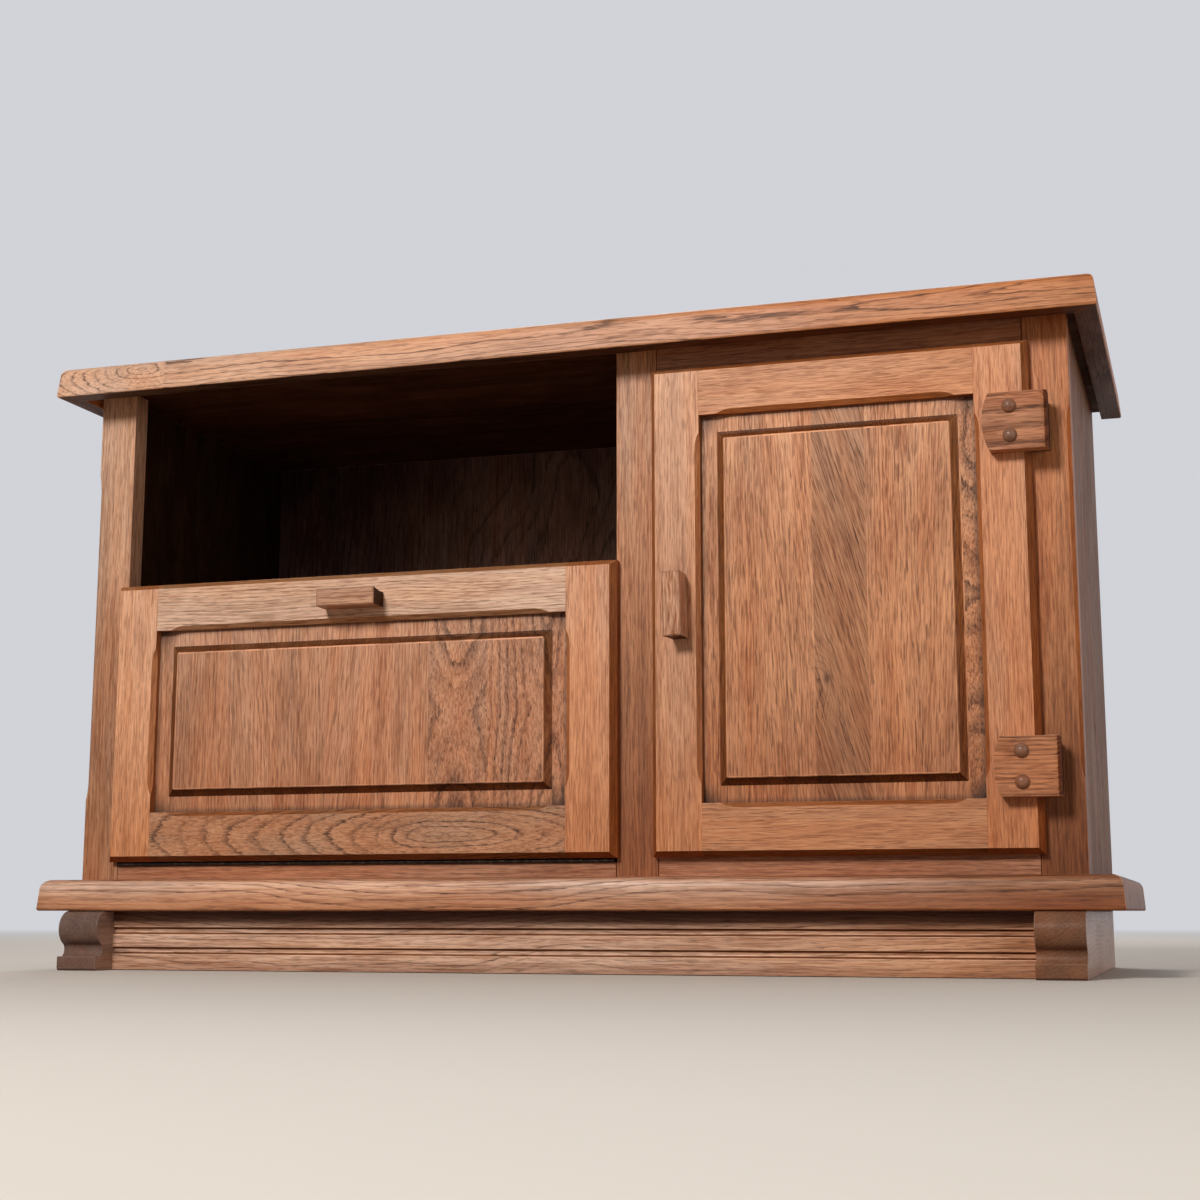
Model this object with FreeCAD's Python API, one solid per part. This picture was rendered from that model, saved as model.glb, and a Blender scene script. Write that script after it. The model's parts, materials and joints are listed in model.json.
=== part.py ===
import FreeCAD, Part
import math
import os

V = FreeCAD.Vector
RIGHT = V(1, 0, 0)
UP = V(0, 0, 1)

# Overall sizes of the cabinet, in millimetres: X across the front, Y from front to back, Z up from the floor.
TOP_W = 1000.0
TOP_D = 400.0
HEIGHT = 585.0

# Top: a panel with deeper solid lippings mitred at the front corners.
TOP_EDGE_T = 30.0
TOP_PANEL_T = 22.0
TOP_LIP_W = 20.0
TOP_ROUND = 8.0
TOP_SLOPE = 2.0
TOP_FRONT_OVERHANG = 40.0
TOP_SIDE_OVERHANG = 28.0
EDGE_EASE = 2.0

# Plinth: two scroll-fronted runners, a moulded apron, a back rail and the base board on them.
FOOT_H = 55.0
FOOT_W = 41.0
FOOT_INSET = 2.0
FOOT_PAD_H = 13.0
FOOT_COVE_H = 11.0
FOOT_COVE_D = 11.5
FOOT_BULGE_SET = 0.6
FOOT_TOP_SET = 16.0
APRON_SET = 29.0
APRON_T = 22.0
APRON_FLOOR_GAP = 0.5
APRON_GROOVE_H = 6.4
APRON_GROOVE_D = 3.0
APRON_LOW_GROOVE_Z = 18.3
APRON_HIGH_GROOVE_Z = 36.5
BACK_RAIL_H = 45.0
BACK_RAIL_T = 22.0
BASE_T = 29.0
BASE_FRONT_OVERHANG = 30.0
BASE_SIDE_OVERHANG = 29.5
BASE_ROUND = 9.0
BASE_SLOPE = 1.5

# Carcass: three stiles, two sides, a partition, rails, shelves and the back.
STILE_W = 38.0
STILE_T = 22.0
MIDDLE_STILE_X = 86.0
STILE_CHAMFER = 3.5
STILE_CHAMFER_RUN = 20.0
STILE_CHAMFER_LOW = 76.0
STILE_CHAMFER_HIGH = 79.0
SIDE_T = 18.0
SIDE_INSET = 1.0
PARTITION_T = 18.0
BACK_T = 6.0
BACK_HOUSING_W = 10.0
SILL_H = 13.0
SHELF_T = 18.0
NICHE_SHELF_DROP = 4.5
NICHE_SHELF_SET = 8.0
DOOR_SHELF_T = 16.0
DOOR_SHELF_RISE = 220.0
DOOR_SHELF_SET = 40.0
SHELF_FIT = 1.0
BATTEN_SIZE = 15.0
BATTEN_SET = 20.0
TENON_L = 60.0
TENON_T = 6.0
TENON_BOARD = 12.0
TENON_SIDE = 22.0
TENON_FROM_END = 40.0
RAIL_TENON_L = 12.0
RAIL_TENON_T = 8.0

# Flap and door: bevelled frames round raised panels, lapping over the front of the carcass.
FLAP_H = 266.0
DOOR_HEAD_GAP = 24.0
OUTER_LAP = 4.5
MIDDLE_LAP = 2.5
RAIL_LAP = 3.5
FRAME_W = 46.0
FRAME_T = 20.0
PROUD = 14.7
SEAT_GAP = 0.5
BEVEL_W = 5.0
BEVEL_D = 7.8
REBATE_FIT = 1.5
GROOVE_SET = 8.0
GROOVE_W = 6.0
GROOVE_D = 8.0
PANEL_FLOAT = 1.0
FIELD_MARGIN = 15.0
FIELD_BEVEL = 7.0
FIELD_RISE = 5.0
INNER_CHAMFER = 4.0
CHAMFER_STOP = 16.0
CHAMFER_RUN = 15.0

# Pulls: short bars with a finger scoop along one side and a stub tenon into the frame.
PULL_L = 58.0
PULL_W = 16.7
PULL_D = 23.0
PULL_LIP = 1.5
PULL_SCOOP = 2.6
PULL_EASE = 1.2
PULL_TENON_L = 30.0
PULL_TENON_T = 7.0
PULL_TENON_D = 6.0
DOOR_PULL_LEAN = 2.2

# Piano hinge along the foot of the flap.
FLAP_GAP = 3.8
FLAP_LEAF_T = 0.8
FLAP_LEAF_D = 12.0
FLAP_MOVING_LEAF_D = 4.0
FLAP_AXIS_OUT = 2.2
FLAP_PIN_R = 0.8
KNUCKLE_PITCH = 30.0
KNUCKLE_AIR = 0.3

# Door hinges: cranked leaves under wooden blocks, pinned behind the rounded ends of the blocks.
HINGE_LOW = 71.0
HINGE_HIGH = 75.5
HINGE_BLOCK_W = 55.0
HINGE_BLOCK_H = 50.0
HINGE_BLOCK_T = 14.0
HINGE_BLOCK_BOW = 6.0
HINGE_BLOCK_REACH = 16.5
HINGE_BLOCK_ROUND = 5.5
HINGE_LEAF_T = 1.2
HINGE_LEAF_IN = 35.0
HINGE_LEAF_H = 44.0
HINGE_R = 2.2
HINGE_PIN_R = 1.1
HINGE_AXIS_OUT = 7.0
HINGE_AXIS_SIDE = 3.2
HINGE_FLANGE_AIR = 0.5
PIN_FIT = 0.05
STUD_HEAD_R = 6.3
STUD_HEAD_H = 5.0
STUD_SHANK = 4.0
STUD_SPAN = 25.5
STUD_FROM_END = 31.5
STUD_BITE = 10.0

# Magnetic catches that hold the flap and the door shut.
CATCH_L = 44.0
CATCH_H = 13.0
CATCH_D = 20.0
CATCH_AIR = 0.4
STRIKE_T = 1.0
STRIKE_L = 36.0
STRIKE_H = 11.0
STRIKE_SET = 2.0

# Planes and edges that the pieces share.
X_TOP = TOP_W / 2
Y_TOP = -TOP_D / 2
Y_BACK = TOP_D / 2
Y_FRONT = Y_TOP + TOP_FRONT_OVERHANG
X_CARCASS = X_TOP - TOP_SIDE_OVERHANG
X_SIDE_OUT = X_CARCASS - SIDE_INSET
X_SIDE_IN = X_SIDE_OUT - SIDE_T
X_MID_LEFT = MIDDLE_STILE_X - STILE_W / 2
X_MID_RIGHT = MIDDLE_STILE_X + STILE_W / 2
X_OPEN = X_CARCASS - STILE_W
X_PART_LEFT = MIDDLE_STILE_X - PARTITION_T / 2
X_PART_RIGHT = MIDDLE_STILE_X + PARTITION_T / 2
Y_STILE_BACK = Y_FRONT + STILE_T
Y_BACK_PANEL = Y_BACK - BACK_T
Z_BASE = FOOT_H
Z_FLOOR = FOOT_H + BASE_T
Z_LIP = HEIGHT - TOP_EDGE_T
Z_CEILING = HEIGHT - TOP_PANEL_T
Z_SILL = Z_FLOOR + SILL_H

Y_FACE = Y_FRONT - PROUD
Y_LIP_BACK = Y_FRONT - SEAT_GAP
Y_FRAME_BACK = Y_FACE + FRAME_T
Y_GROOVE = Y_FACE + GROOVE_SET

FLAP_X0 = -X_OPEN - OUTER_LAP
FLAP_X1 = X_MID_LEFT + MIDDLE_LAP
FLAP_Z0 = Z_SILL + FLAP_GAP
FLAP_Z1 = FLAP_Z0 + FLAP_H
DOOR_X0 = X_MID_RIGHT - MIDDLE_LAP
DOOR_X1 = X_OPEN + OUTER_LAP
DOOR_Z0 = FLAP_Z0
DOOR_Z1 = Z_CEILING - DOOR_HEAD_GAP

FLAP_AXIS_Y = Y_FRONT - FLAP_AXIS_OUT
FLAP_AXIS_Z = Z_SILL + FLAP_GAP / 2
HINGE_X0 = DOOR_X1 + HINGE_BLOCK_REACH - HINGE_BLOCK_W
HINGE_X1 = DOOR_X1 + HINGE_BLOCK_REACH
HINGE_AXIS_X = HINGE_X1 - HINGE_AXIS_SIDE
HINGE_AXIS_Y = Y_FRONT - HINGE_AXIS_OUT
HINGE_HEIGHTS = {"upper": DOOR_Z1 - HINGE_HIGH, "lower": DOOR_Z0 + HINGE_LOW}


def box(x0, x1, y0, y1, z0, z1):
    return Part.makeBox(x1 - x0, y1 - y0, z1 - z0, V(x0, y0, z0))


def outline(place, start, *steps):
    """Closed face: each step is a point, or a middle and an end point for an arc."""
    edges = []
    here = start
    for step in steps:
        if isinstance(step[0], tuple):
            edges.append(Part.Arc(place(*here), place(*step[0]), place(*step[1])).toShape())
            here = step[1]
        else:
            edges.append(Part.makeLine(place(*here), place(*step)))
            here = step
    if here != start:
        edges.append(Part.makeLine(place(*here), place(*start)))
    return Part.Face(Part.Wire(edges))


def along_x(x0, x1, start, *steps):
    """Bar along X with an outline in Y and Z."""
    return outline(lambda y, z: V(x0, y, z), start, *steps).extrude(V(x1 - x0, 0, 0))


def along_y(y0, y1, start, *steps):
    """Bar along Y with an outline in X and Z."""
    return outline(lambda x, z: V(x, y0, z), start, *steps).extrude(V(0, y1 - y0, 0))


def along_z(z0, z1, start, *steps):
    """Post along Z with an outline in X and Y."""
    return outline(lambda x, y: V(x, y, z0), start, *steps).extrude(V(0, 0, z1 - z0))


def cut(shape, *tools):
    return shape.cut(Part.makeCompound(list(tools)))


def fuse(*shapes):
    return shapes[0].multiFuse(list(shapes[1:])).removeSplitter()


def quarter(corner_a, corner_b, size, side_a, side_b):
    """Middle point of a quarter round of this size inside a corner."""
    bulge = size * (1 - math.sqrt(0.5))
    return (corner_a + side_a * bulge, corner_b + side_b * bulge)


def moulded_board(z0, z1, x1, y0, slope, top_round):
    """Board out to x1 each way and to the back of the cabinet, with a moulded front and moulded ends."""
    front = along_x(
        -x1, x1,
        (Y_BACK, z0),
        (y0 + EDGE_EASE, z0),
        (quarter(y0, z0, EDGE_EASE, 1, 1), (y0, z0 + EDGE_EASE)),
        (y0 + slope, z1 - top_round),
        (quarter(y0 + slope, z1, top_round, 1, -1), (y0 + slope + top_round, z1)),
        (Y_BACK, z1),
    )
    shoulder = x1 - slope
    ends = along_y(
        y0, Y_BACK,
        (x1 - EDGE_EASE, z0),
        (quarter(x1, z0, EDGE_EASE, -1, 1), (x1, z0 + EDGE_EASE)),
        (shoulder, z1 - top_round),
        (quarter(shoulder, z1, top_round, -1, -1), (shoulder - top_round, z1)),
        (top_round - shoulder, z1),
        (quarter(-shoulder, z1, top_round, 1, -1), (-shoulder, z1 - top_round)),
        (-x1, z0 + EDGE_EASE),
        (quarter(-x1, z0, EDGE_EASE, 1, 1), (EDGE_EASE - x1, z0)),
    )
    return front.common(ends)


def stopped_chamfer(corner, run, side, size, length, fade):
    """Cutter for a chamfer on a front edge, fading out in an arc at both ends.

    corner is where it starts, run the edge's direction, side the face that meets the front
    and fade the length of each arc."""
    depth = size / math.sqrt(2)
    out = (side + V(0, -1, 0)).normalize()
    across = run.cross(out)
    radius = (fade ** 2 + depth ** 2) / (2 * depth)
    sag = radius - math.sqrt(radius ** 2 - (fade / 2) ** 2)

    def place(u, v):
        return corner + run * u + out * v - across * size

    face = outline(
        place,
        (0, depth),
        (0, 0),
        ((fade / 2, sag - depth), (fade, -depth)),
        (length - fade, -depth),
        ((length - fade / 2, sag - depth), (length, 0)),
        (length, depth),
    )
    return face.extrude(across * (2 * size))


def make_top():
    """Panel and three lippings, which stand deeper than the panel round its edge."""
    board = moulded_board(Z_LIP, HEIGHT, X_TOP, Y_TOP, TOP_SLOPE, TOP_ROUND)
    inner_x = X_TOP - TOP_LIP_W
    inner_y = Y_TOP + TOP_LIP_W
    front = along_z(Z_LIP, HEIGHT, (-X_TOP, Y_TOP), (X_TOP, Y_TOP), (inner_x, inner_y), (-inner_x, inner_y))
    left = along_z(Z_LIP, HEIGHT, (-X_TOP, Y_TOP), (-inner_x, inner_y), (-inner_x, Y_BACK), (-X_TOP, Y_BACK))
    right = along_z(Z_LIP, HEIGHT, (X_TOP, Y_TOP), (inner_x, inner_y), (inner_x, Y_BACK), (X_TOP, Y_BACK))
    panel = box(-inner_x, inner_x, inner_y, Y_BACK, Z_CEILING, HEIGHT)
    return {
        "top_panel": cut(panel, *loose_tenons(Z_CEILING, 1)),
        "top_front_lipping": board.common(front),
        "top_left_lipping": board.common(left),
        "top_right_lipping": board.common(right),
    }


def runner(x0):
    """Foot along the side of the cabinet: a square pad, a cove and a swelling scroll at the front."""
    y0 = Y_TOP
    cove_z = FOOT_PAD_H + FOOT_COVE_H
    scroll_z = (cove_z + FOOT_H) / 2 - EDGE_EASE
    cove_y = y0 + FOOT_COVE_D
    return along_x(
        x0, x0 + FOOT_W,
        (Y_BACK, 0),
        (y0 + EDGE_EASE, 0),
        (y0, EDGE_EASE),
        (y0, FOOT_PAD_H),
        (y0 + EDGE_EASE, FOOT_PAD_H),
        ((cove_y, FOOT_PAD_H + FOOT_COVE_H / 2), (cove_y - EDGE_EASE, cove_z)),
        ((y0 + FOOT_BULGE_SET, scroll_z), (y0 + FOOT_TOP_SET, FOOT_H)),
        (Y_BACK, FOOT_H),
    )


def make_plinth():
    foot_out = X_CARCASS - FOOT_INSET
    foot_in = foot_out - FOOT_W
    y0 = Y_TOP + APRON_SET
    half = APRON_GROOVE_H / 2
    apron = along_x(
        -foot_in, foot_in,
        (y0, APRON_FLOOR_GAP),
        (y0, APRON_LOW_GROOVE_Z - half),
        ((y0 + APRON_GROOVE_D, APRON_LOW_GROOVE_Z), (y0, APRON_LOW_GROOVE_Z + half)),
        (y0, APRON_HIGH_GROOVE_Z - half),
        ((y0 + APRON_GROOVE_D, APRON_HIGH_GROOVE_Z), (y0, APRON_HIGH_GROOVE_Z + half)),
        (y0, FOOT_H),
        (y0 + APRON_T, FOOT_H),
        (y0 + APRON_T, APRON_FLOOR_GAP),
    )
    back_rail = box(-foot_in, foot_in, Y_BACK - BACK_RAIL_T, Y_BACK, FOOT_H - BACK_RAIL_H, FOOT_H)
    base_x = X_CARCASS + BASE_SIDE_OVERHANG
    base_y = Y_FRONT - BASE_FRONT_OVERHANG
    base = moulded_board(Z_BASE, Z_FLOOR, base_x, base_y, BASE_SLOPE, BASE_ROUND)
    return {
        "left_runner_foot": runner(-foot_out),
        "right_runner_foot": runner(foot_in),
        "plinth_apron": apron,
        "plinth_back_rail": back_rail,
        "base_board": cut(base, *loose_tenons(Z_FLOOR, -1)),
    }


def loose_tenons(z, up):
    """Tenons from the sides and the partition into the board above or below them."""
    low = min(z - up * TENON_SIDE, z + up * TENON_BOARD)
    high = low + TENON_SIDE + TENON_BOARD
    tenons = []
    for x in (-X_SIDE_OUT + SIDE_T / 2, MIDDLE_STILE_X, X_SIDE_OUT - SIDE_T / 2):
        for y in (Y_STILE_BACK + TENON_FROM_END, Y_BACK_PANEL - TENON_FROM_END - TENON_L):
            tenons.append(box(x - TENON_T / 2, x + TENON_T / 2, y, y + TENON_L, low, high))
    return tenons


def carcass_rail(x0, x1, z0, z1):
    """Rail between two stiles with a stub tenon at each end."""
    y0 = (Y_FRONT + Y_STILE_BACK - RAIL_TENON_T) / 2
    rail = box(x0, x1, Y_FRONT, Y_STILE_BACK, z0, z1)
    tenon = box(x0 - RAIL_TENON_L, x1 + RAIL_TENON_L, y0, y0 + RAIL_TENON_T, z0, z1)
    return fuse(rail, tenon)


def make_carcass():
    """Stiles, sides, partition, rails, shelves and back, standing on the base board under the top."""
    height = Z_CEILING - Z_FLOOR
    chamfer_z = Z_FLOOR + STILE_CHAMFER_LOW
    chamfer_l = height - STILE_CHAMFER_LOW - STILE_CHAMFER_HIGH
    edges = []
    for side in (-1, 1):
        corner = V(side * X_CARCASS, Y_FRONT, chamfer_z)
        edges.append(stopped_chamfer(corner, UP, V(side, 0, 0), STILE_CHAMFER, chamfer_l, STILE_CHAMFER_RUN))
    left_stile = box(-X_CARCASS, -X_OPEN, Y_FRONT, Y_STILE_BACK, Z_FLOOR, Z_CEILING)
    right_stile = box(X_OPEN, X_CARCASS, Y_FRONT, Y_STILE_BACK, Z_FLOOR, Z_CEILING)
    housings = [hinge_plate(z) for z in HINGE_HEIGHTS.values()]

    flap_sill = carcass_rail(-X_OPEN, X_MID_LEFT, Z_FLOOR, Z_SILL)
    door_sill = carcass_rail(X_MID_RIGHT, X_OPEN, Z_FLOOR, DOOR_Z0 + RAIL_LAP)
    door_head = carcass_rail(X_MID_RIGHT, X_OPEN, DOOR_Z1 - RAIL_LAP, Z_CEILING)
    middle_stile = box(X_MID_LEFT, X_MID_RIGHT, Y_FRONT, Y_STILE_BACK, Z_FLOOR, Z_CEILING)

    back_x = X_SIDE_IN + BACK_HOUSING_W
    back_panel = box(-back_x, back_x, Y_BACK_PANEL, Y_BACK, Z_FLOOR, Z_CEILING)
    left_side = box(-X_SIDE_OUT, -X_SIDE_IN, Y_STILE_BACK, Y_BACK, Z_FLOOR, Z_CEILING)
    right_side = box(X_SIDE_IN, X_SIDE_OUT, Y_STILE_BACK, Y_BACK, Z_FLOOR, Z_CEILING)
    partition = box(X_PART_LEFT, X_PART_RIGHT, Y_STILE_BACK, Y_BACK_PANEL, Z_FLOOR, Z_CEILING)

    shelf_z1 = FLAP_Z1 - NICHE_SHELF_DROP
    shelf_z0 = shelf_z1 - SHELF_T
    shelf_y0 = Y_FRONT + NICHE_SHELF_SET
    niche_shelf = fuse(
        box(-X_SIDE_IN, X_PART_LEFT, Y_STILE_BACK, Y_BACK_PANEL, shelf_z0, shelf_z1),
        box(-X_OPEN, X_MID_LEFT, shelf_y0, Y_STILE_BACK, shelf_z0, shelf_z1),
    )
    door_shelf_z = Z_FLOOR + DOOR_SHELF_RISE
    door_shelf = box(
        X_PART_RIGHT + SHELF_FIT, X_SIDE_IN - SHELF_FIT, Y_FRONT + DOOR_SHELF_SET, Y_BACK_PANEL - SHELF_FIT,
        door_shelf_z, door_shelf_z + DOOR_SHELF_T,
    )
    batten_y0 = Y_FRONT + DOOR_SHELF_SET + BATTEN_SET
    batten_y1 = Y_BACK_PANEL - BATTEN_SET
    batten_z = door_shelf_z - BATTEN_SIZE
    battens = []
    for x in (X_PART_RIGHT, X_SIDE_IN - BATTEN_SIZE):
        battens.append(box(x, x + BATTEN_SIZE, batten_y0, batten_y1, batten_z, door_shelf_z))
    top_tenons = loose_tenons(Z_CEILING, 1)
    base_tenons = loose_tenons(Z_FLOOR, -1)
    tenons = top_tenons + base_tenons
    return {
        "left_stile": cut(left_stile, edges[0], flap_sill),
        "middle_stile": cut(middle_stile, flap_sill, door_sill, door_head),
        "right_stile": cut(right_stile, edges[1], door_sill, door_head, *housings),
        "left_side_panel": cut(left_side, back_panel, *tenons),
        "right_side_panel": cut(right_side, back_panel, *tenons),
        "centre_partition": cut(partition, *tenons),
        "flap_sill_rail": flap_sill,
        "door_sill_rail": door_sill,
        "door_head_rail": door_head,
        "niche_shelf": niche_shelf,
        "door_shelf": door_shelf,
        "shelf_battens": Part.makeCompound(battens),
        "back_panel": back_panel,
        "top_tenons": Part.makeCompound(top_tenons),
        "base_tenons": Part.makeCompound(base_tenons),
    }


def framed_panel(name, x0, x1, z0, z1, rear):
    """Bevelled frame of two stiles and two rails, grooved for a raised panel.

    rear is the box of the part behind the lap, which sits inside the opening."""
    bevel = Part.makeWedge(
        x0, -Y_FACE - BEVEL_D, z0, z0 + BEVEL_W, x0 + BEVEL_W,
        x1, -Y_FACE, z1, z1 - BEVEL_W, x1 - BEVEL_W,
    )
    bevel = bevel.mirror(V(0, 0, 0), V(0, 1, 0))
    body = fuse(bevel, box(x0, x1, Y_FACE + BEVEL_D, Y_LIP_BACK, z0, z1), rear)
    in_x0 = x0 + FRAME_W
    in_x1 = x1 - FRAME_W
    in_z0 = z0 + FRAME_W
    in_z1 = z1 - FRAME_W
    y1 = Y_GROOVE + GROOVE_W
    groove = box(in_x0 - GROOVE_D, in_x1 + GROOVE_D, Y_GROOVE, y1, in_z0 - GROOVE_D, in_z1 + GROOVE_D)
    stile_groove = box(in_x0 - GROOVE_D, in_x1 + GROOVE_D, Y_GROOVE, y1, z0, z1)

    stop_z = in_z0 + CHAMFER_STOP
    stop_x = in_x0 + CHAMFER_STOP
    tall = in_z1 - in_z0 - 2 * CHAMFER_STOP
    wide = in_x1 - in_x0 - 2 * CHAMFER_STOP
    left_edge = stopped_chamfer(V(in_x0, Y_FACE, stop_z), UP, RIGHT, INNER_CHAMFER, tall, CHAMFER_RUN)
    right_edge = stopped_chamfer(V(in_x1, Y_FACE, stop_z), UP, -RIGHT, INNER_CHAMFER, tall, CHAMFER_RUN)
    low_edge = stopped_chamfer(V(stop_x, Y_FACE, in_z0), RIGHT, UP, INNER_CHAMFER, wide, CHAMFER_RUN)
    high_edge = stopped_chamfer(V(stop_x, Y_FACE, in_z1), RIGHT, -UP, INNER_CHAMFER, wide, CHAMFER_RUN)

    def member(a0, a1, b0, b1):
        return body.common(box(a0, a1, Y_FACE, Y_FRAME_BACK, b0, b1))

    def rail(b0, b1, edge):
        tongue = body.common(box(in_x0 - GROOVE_D, in_x1 + GROOVE_D, Y_GROOVE, y1, b0, b1))
        return cut(fuse(member(in_x0, in_x1, b0, b1), tongue), groove, edge)

    edge_fit = GROOVE_D - PANEL_FLOAT
    slab = box(in_x0 - edge_fit, in_x1 + edge_fit, Y_GROOVE, y1, in_z0 - edge_fit, in_z1 + edge_fit)
    f = FIELD_MARGIN
    g = FIELD_MARGIN + FIELD_BEVEL
    field = Part.makeWedge(
        in_x0 + f, -Y_GROOVE, in_z0 + f, in_z0 + g, in_x0 + g,
        in_x1 - f, FIELD_RISE - Y_GROOVE, in_z1 - f, in_z1 - g, in_x1 - g,
    ).mirror(V(0, 0, 0), V(0, 1, 0))
    return {
        name + "_left_stile": cut(member(x0, in_x0, z0, z1), stile_groove, left_edge),
        name + "_right_stile": cut(member(in_x1, x1, z0, z1), stile_groove, right_edge),
        name + "_top_rail": rail(in_z1, z1, high_edge),
        name + "_bottom_rail": rail(z0, in_z0, low_edge),
        name + "_panel": fuse(slab, field),
    }


def pull_bar():
    """Pull along X in front of the plane Y 0, its scoop on the upper side."""
    half = PULL_W / 2
    low = half - PULL_SCOOP
    shoulder = PULL_D - PULL_LIP
    bar = along_x(
        -PULL_L / 2, PULL_L / 2,
        (0, -half),
        (-PULL_D, -half),
        (-PULL_D, half),
        (-shoulder, half),
        ((-shoulder * 0.7, low + PULL_SCOOP * 0.35), (-shoulder * 0.4, low)),
        (0, low),
    )
    front = [e for e in bar.Edges if all(abs(v.Point.y + PULL_D) < 0.01 for v in e.Vertexes)]
    tenon_z = PULL_EASE - half
    tenon = box(-PULL_TENON_L / 2, PULL_TENON_L / 2, 0, PULL_TENON_D, tenon_z, tenon_z + PULL_TENON_T)
    return fuse(bar.makeChamfer(PULL_EASE, front), tenon)


def placed_pull(x, z, turn):
    """Pull on the front of a frame, turned about the front's normal."""
    pull = pull_bar()
    pull.rotate(V(0, 0, 0), V(0, 1, 0), turn)
    pull.translate(V(x, Y_FACE, z))
    return pull


def piano_hinge():
    """Two leaves with alternating knuckles and one long pin, along the foot of the flap."""
    x0 = -X_OPEN + REBATE_FIT
    length = X_MID_LEFT - REBATE_FIT - x0
    count = 2 * int(length / KNUCKLE_PITCH / 2) + 1
    pitch = length / count
    radius = FLAP_GAP / 2 - KNUCKLE_AIR
    clear = FLAP_AXIS_Y + radius + 2 * KNUCKLE_AIR
    fixed = [box(x0, x0 + length, clear, Y_FRONT + FLAP_LEAF_D, Z_SILL, Z_SILL + FLAP_LEAF_T)]
    moving = [box(x0, x0 + length, clear, Y_FRONT + FLAP_MOVING_LEAF_D, FLAP_Z0 - FLAP_LEAF_T, FLAP_Z0)]
    for k in range(count):
        a = x0 + k * pitch + KNUCKLE_AIR / 2
        b = x0 + (k + 1) * pitch - KNUCKLE_AIR / 2
        knuckle = Part.makeCylinder(radius, b - a, V(a, FLAP_AXIS_Y, FLAP_AXIS_Z), V(1, 0, 0))
        if k % 2:
            moving += [knuckle, box(a, b, FLAP_AXIS_Y, clear, FLAP_Z0 - FLAP_LEAF_T, FLAP_Z0 - KNUCKLE_AIR)]
        else:
            fixed += [knuckle, box(a, b, FLAP_AXIS_Y, clear, Z_SILL + KNUCKLE_AIR, Z_SILL + FLAP_LEAF_T)]
    bore = Part.makeCylinder(FLAP_PIN_R + PIN_FIT, length, V(x0, FLAP_AXIS_Y, FLAP_AXIS_Z), V(1, 0, 0))
    pin = Part.makeCylinder(FLAP_PIN_R, length, V(x0, FLAP_AXIS_Y, FLAP_AXIS_Z), V(1, 0, 0))
    return cut(fuse(*fixed), bore), cut(fuse(*moving), bore), pin


def hinge_plate(z):
    """Flat of the fixed leaf, let into the front of the right stile."""
    half = HINGE_LEAF_H / 2
    return box(X_OPEN, HINGE_AXIS_X + HINGE_R, Y_FRONT, Y_FRONT + HINGE_LEAF_T, z - half, z + half)


def door_leaf(z):
    """Flat of the door leaf, let into the back of its block."""
    half = HINGE_LEAF_H / 2
    x1 = HINGE_AXIS_X - HINGE_R + HINGE_LEAF_T
    return box(HINGE_X1 - HINGE_LEAF_IN, x1, Y_FACE - HINGE_LEAF_T, Y_FACE, z - half, z + half)


def door_hinge(z):
    """Fixed leaf with the outer knuckles, cranked door leaf with the middle one, and the pin."""
    half = HINGE_LEAF_H / 2
    third = HINGE_LEAF_H / 3

    def knuckle(z0, z1):
        return Part.makeCylinder(HINGE_R, z1 - z0, V(HINGE_AXIS_X, HINGE_AXIS_Y, z0))

    fixed = [hinge_plate(z)]
    for z0, z1 in ((z - half, z - third / 2 - KNUCKLE_AIR / 2), (z + third / 2 + KNUCKLE_AIR / 2, z + half)):
        fixed += [knuckle(z0, z1), box(HINGE_AXIS_X - HINGE_R, HINGE_AXIS_X, HINGE_AXIS_Y, Y_FRONT, z0, z1)]
    mid0 = z - third / 2 + KNUCKLE_AIR / 2
    mid1 = z + third / 2 - KNUCKLE_AIR / 2
    flange_x = HINGE_AXIS_X - HINGE_R
    flange_y = HINGE_AXIS_Y - HINGE_R - HINGE_FLANGE_AIR
    moving = [
        door_leaf(z),
        box(flange_x, flange_x + HINGE_LEAF_T, Y_FACE, flange_y, z - half, z + half),
        box(flange_x, flange_x + HINGE_LEAF_T, flange_y, HINGE_AXIS_Y, mid0, mid1),
        knuckle(mid0, mid1),
    ]
    bottom = V(HINGE_AXIS_X, HINGE_AXIS_Y, z - half)
    bore = Part.makeCylinder(HINGE_PIN_R + PIN_FIT, HINGE_LEAF_H, bottom)
    pin = Part.makeCylinder(HINGE_PIN_R, HINGE_LEAF_H, bottom)
    return cut(fuse(*fixed), bore), cut(fuse(*moving), bore), pin


def hinge_block(z):
    """Wooden block over the door leaf, its inner end bowed and its outer end rounded over the pin."""
    half = HINGE_BLOCK_H / 2
    y0 = Y_FACE - HINGE_BLOCK_T
    block = along_y(
        y0, Y_FACE,
        (HINGE_X1, z - half),
        (HINGE_X1, z + half),
        (HINGE_X0 + HINGE_BLOCK_BOW, z + half),
        ((HINGE_X0, z), (HINGE_X0 + HINGE_BLOCK_BOW, z - half)),
    )
    corner = V(HINGE_X1, y0, z)
    end = [e for e in block.Edges if e.CenterOfMass.isEqual(corner, 0.01)]
    block = block.makeFillet(HINGE_BLOCK_ROUND, end)
    return cut(block, door_leaf(z))


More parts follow.
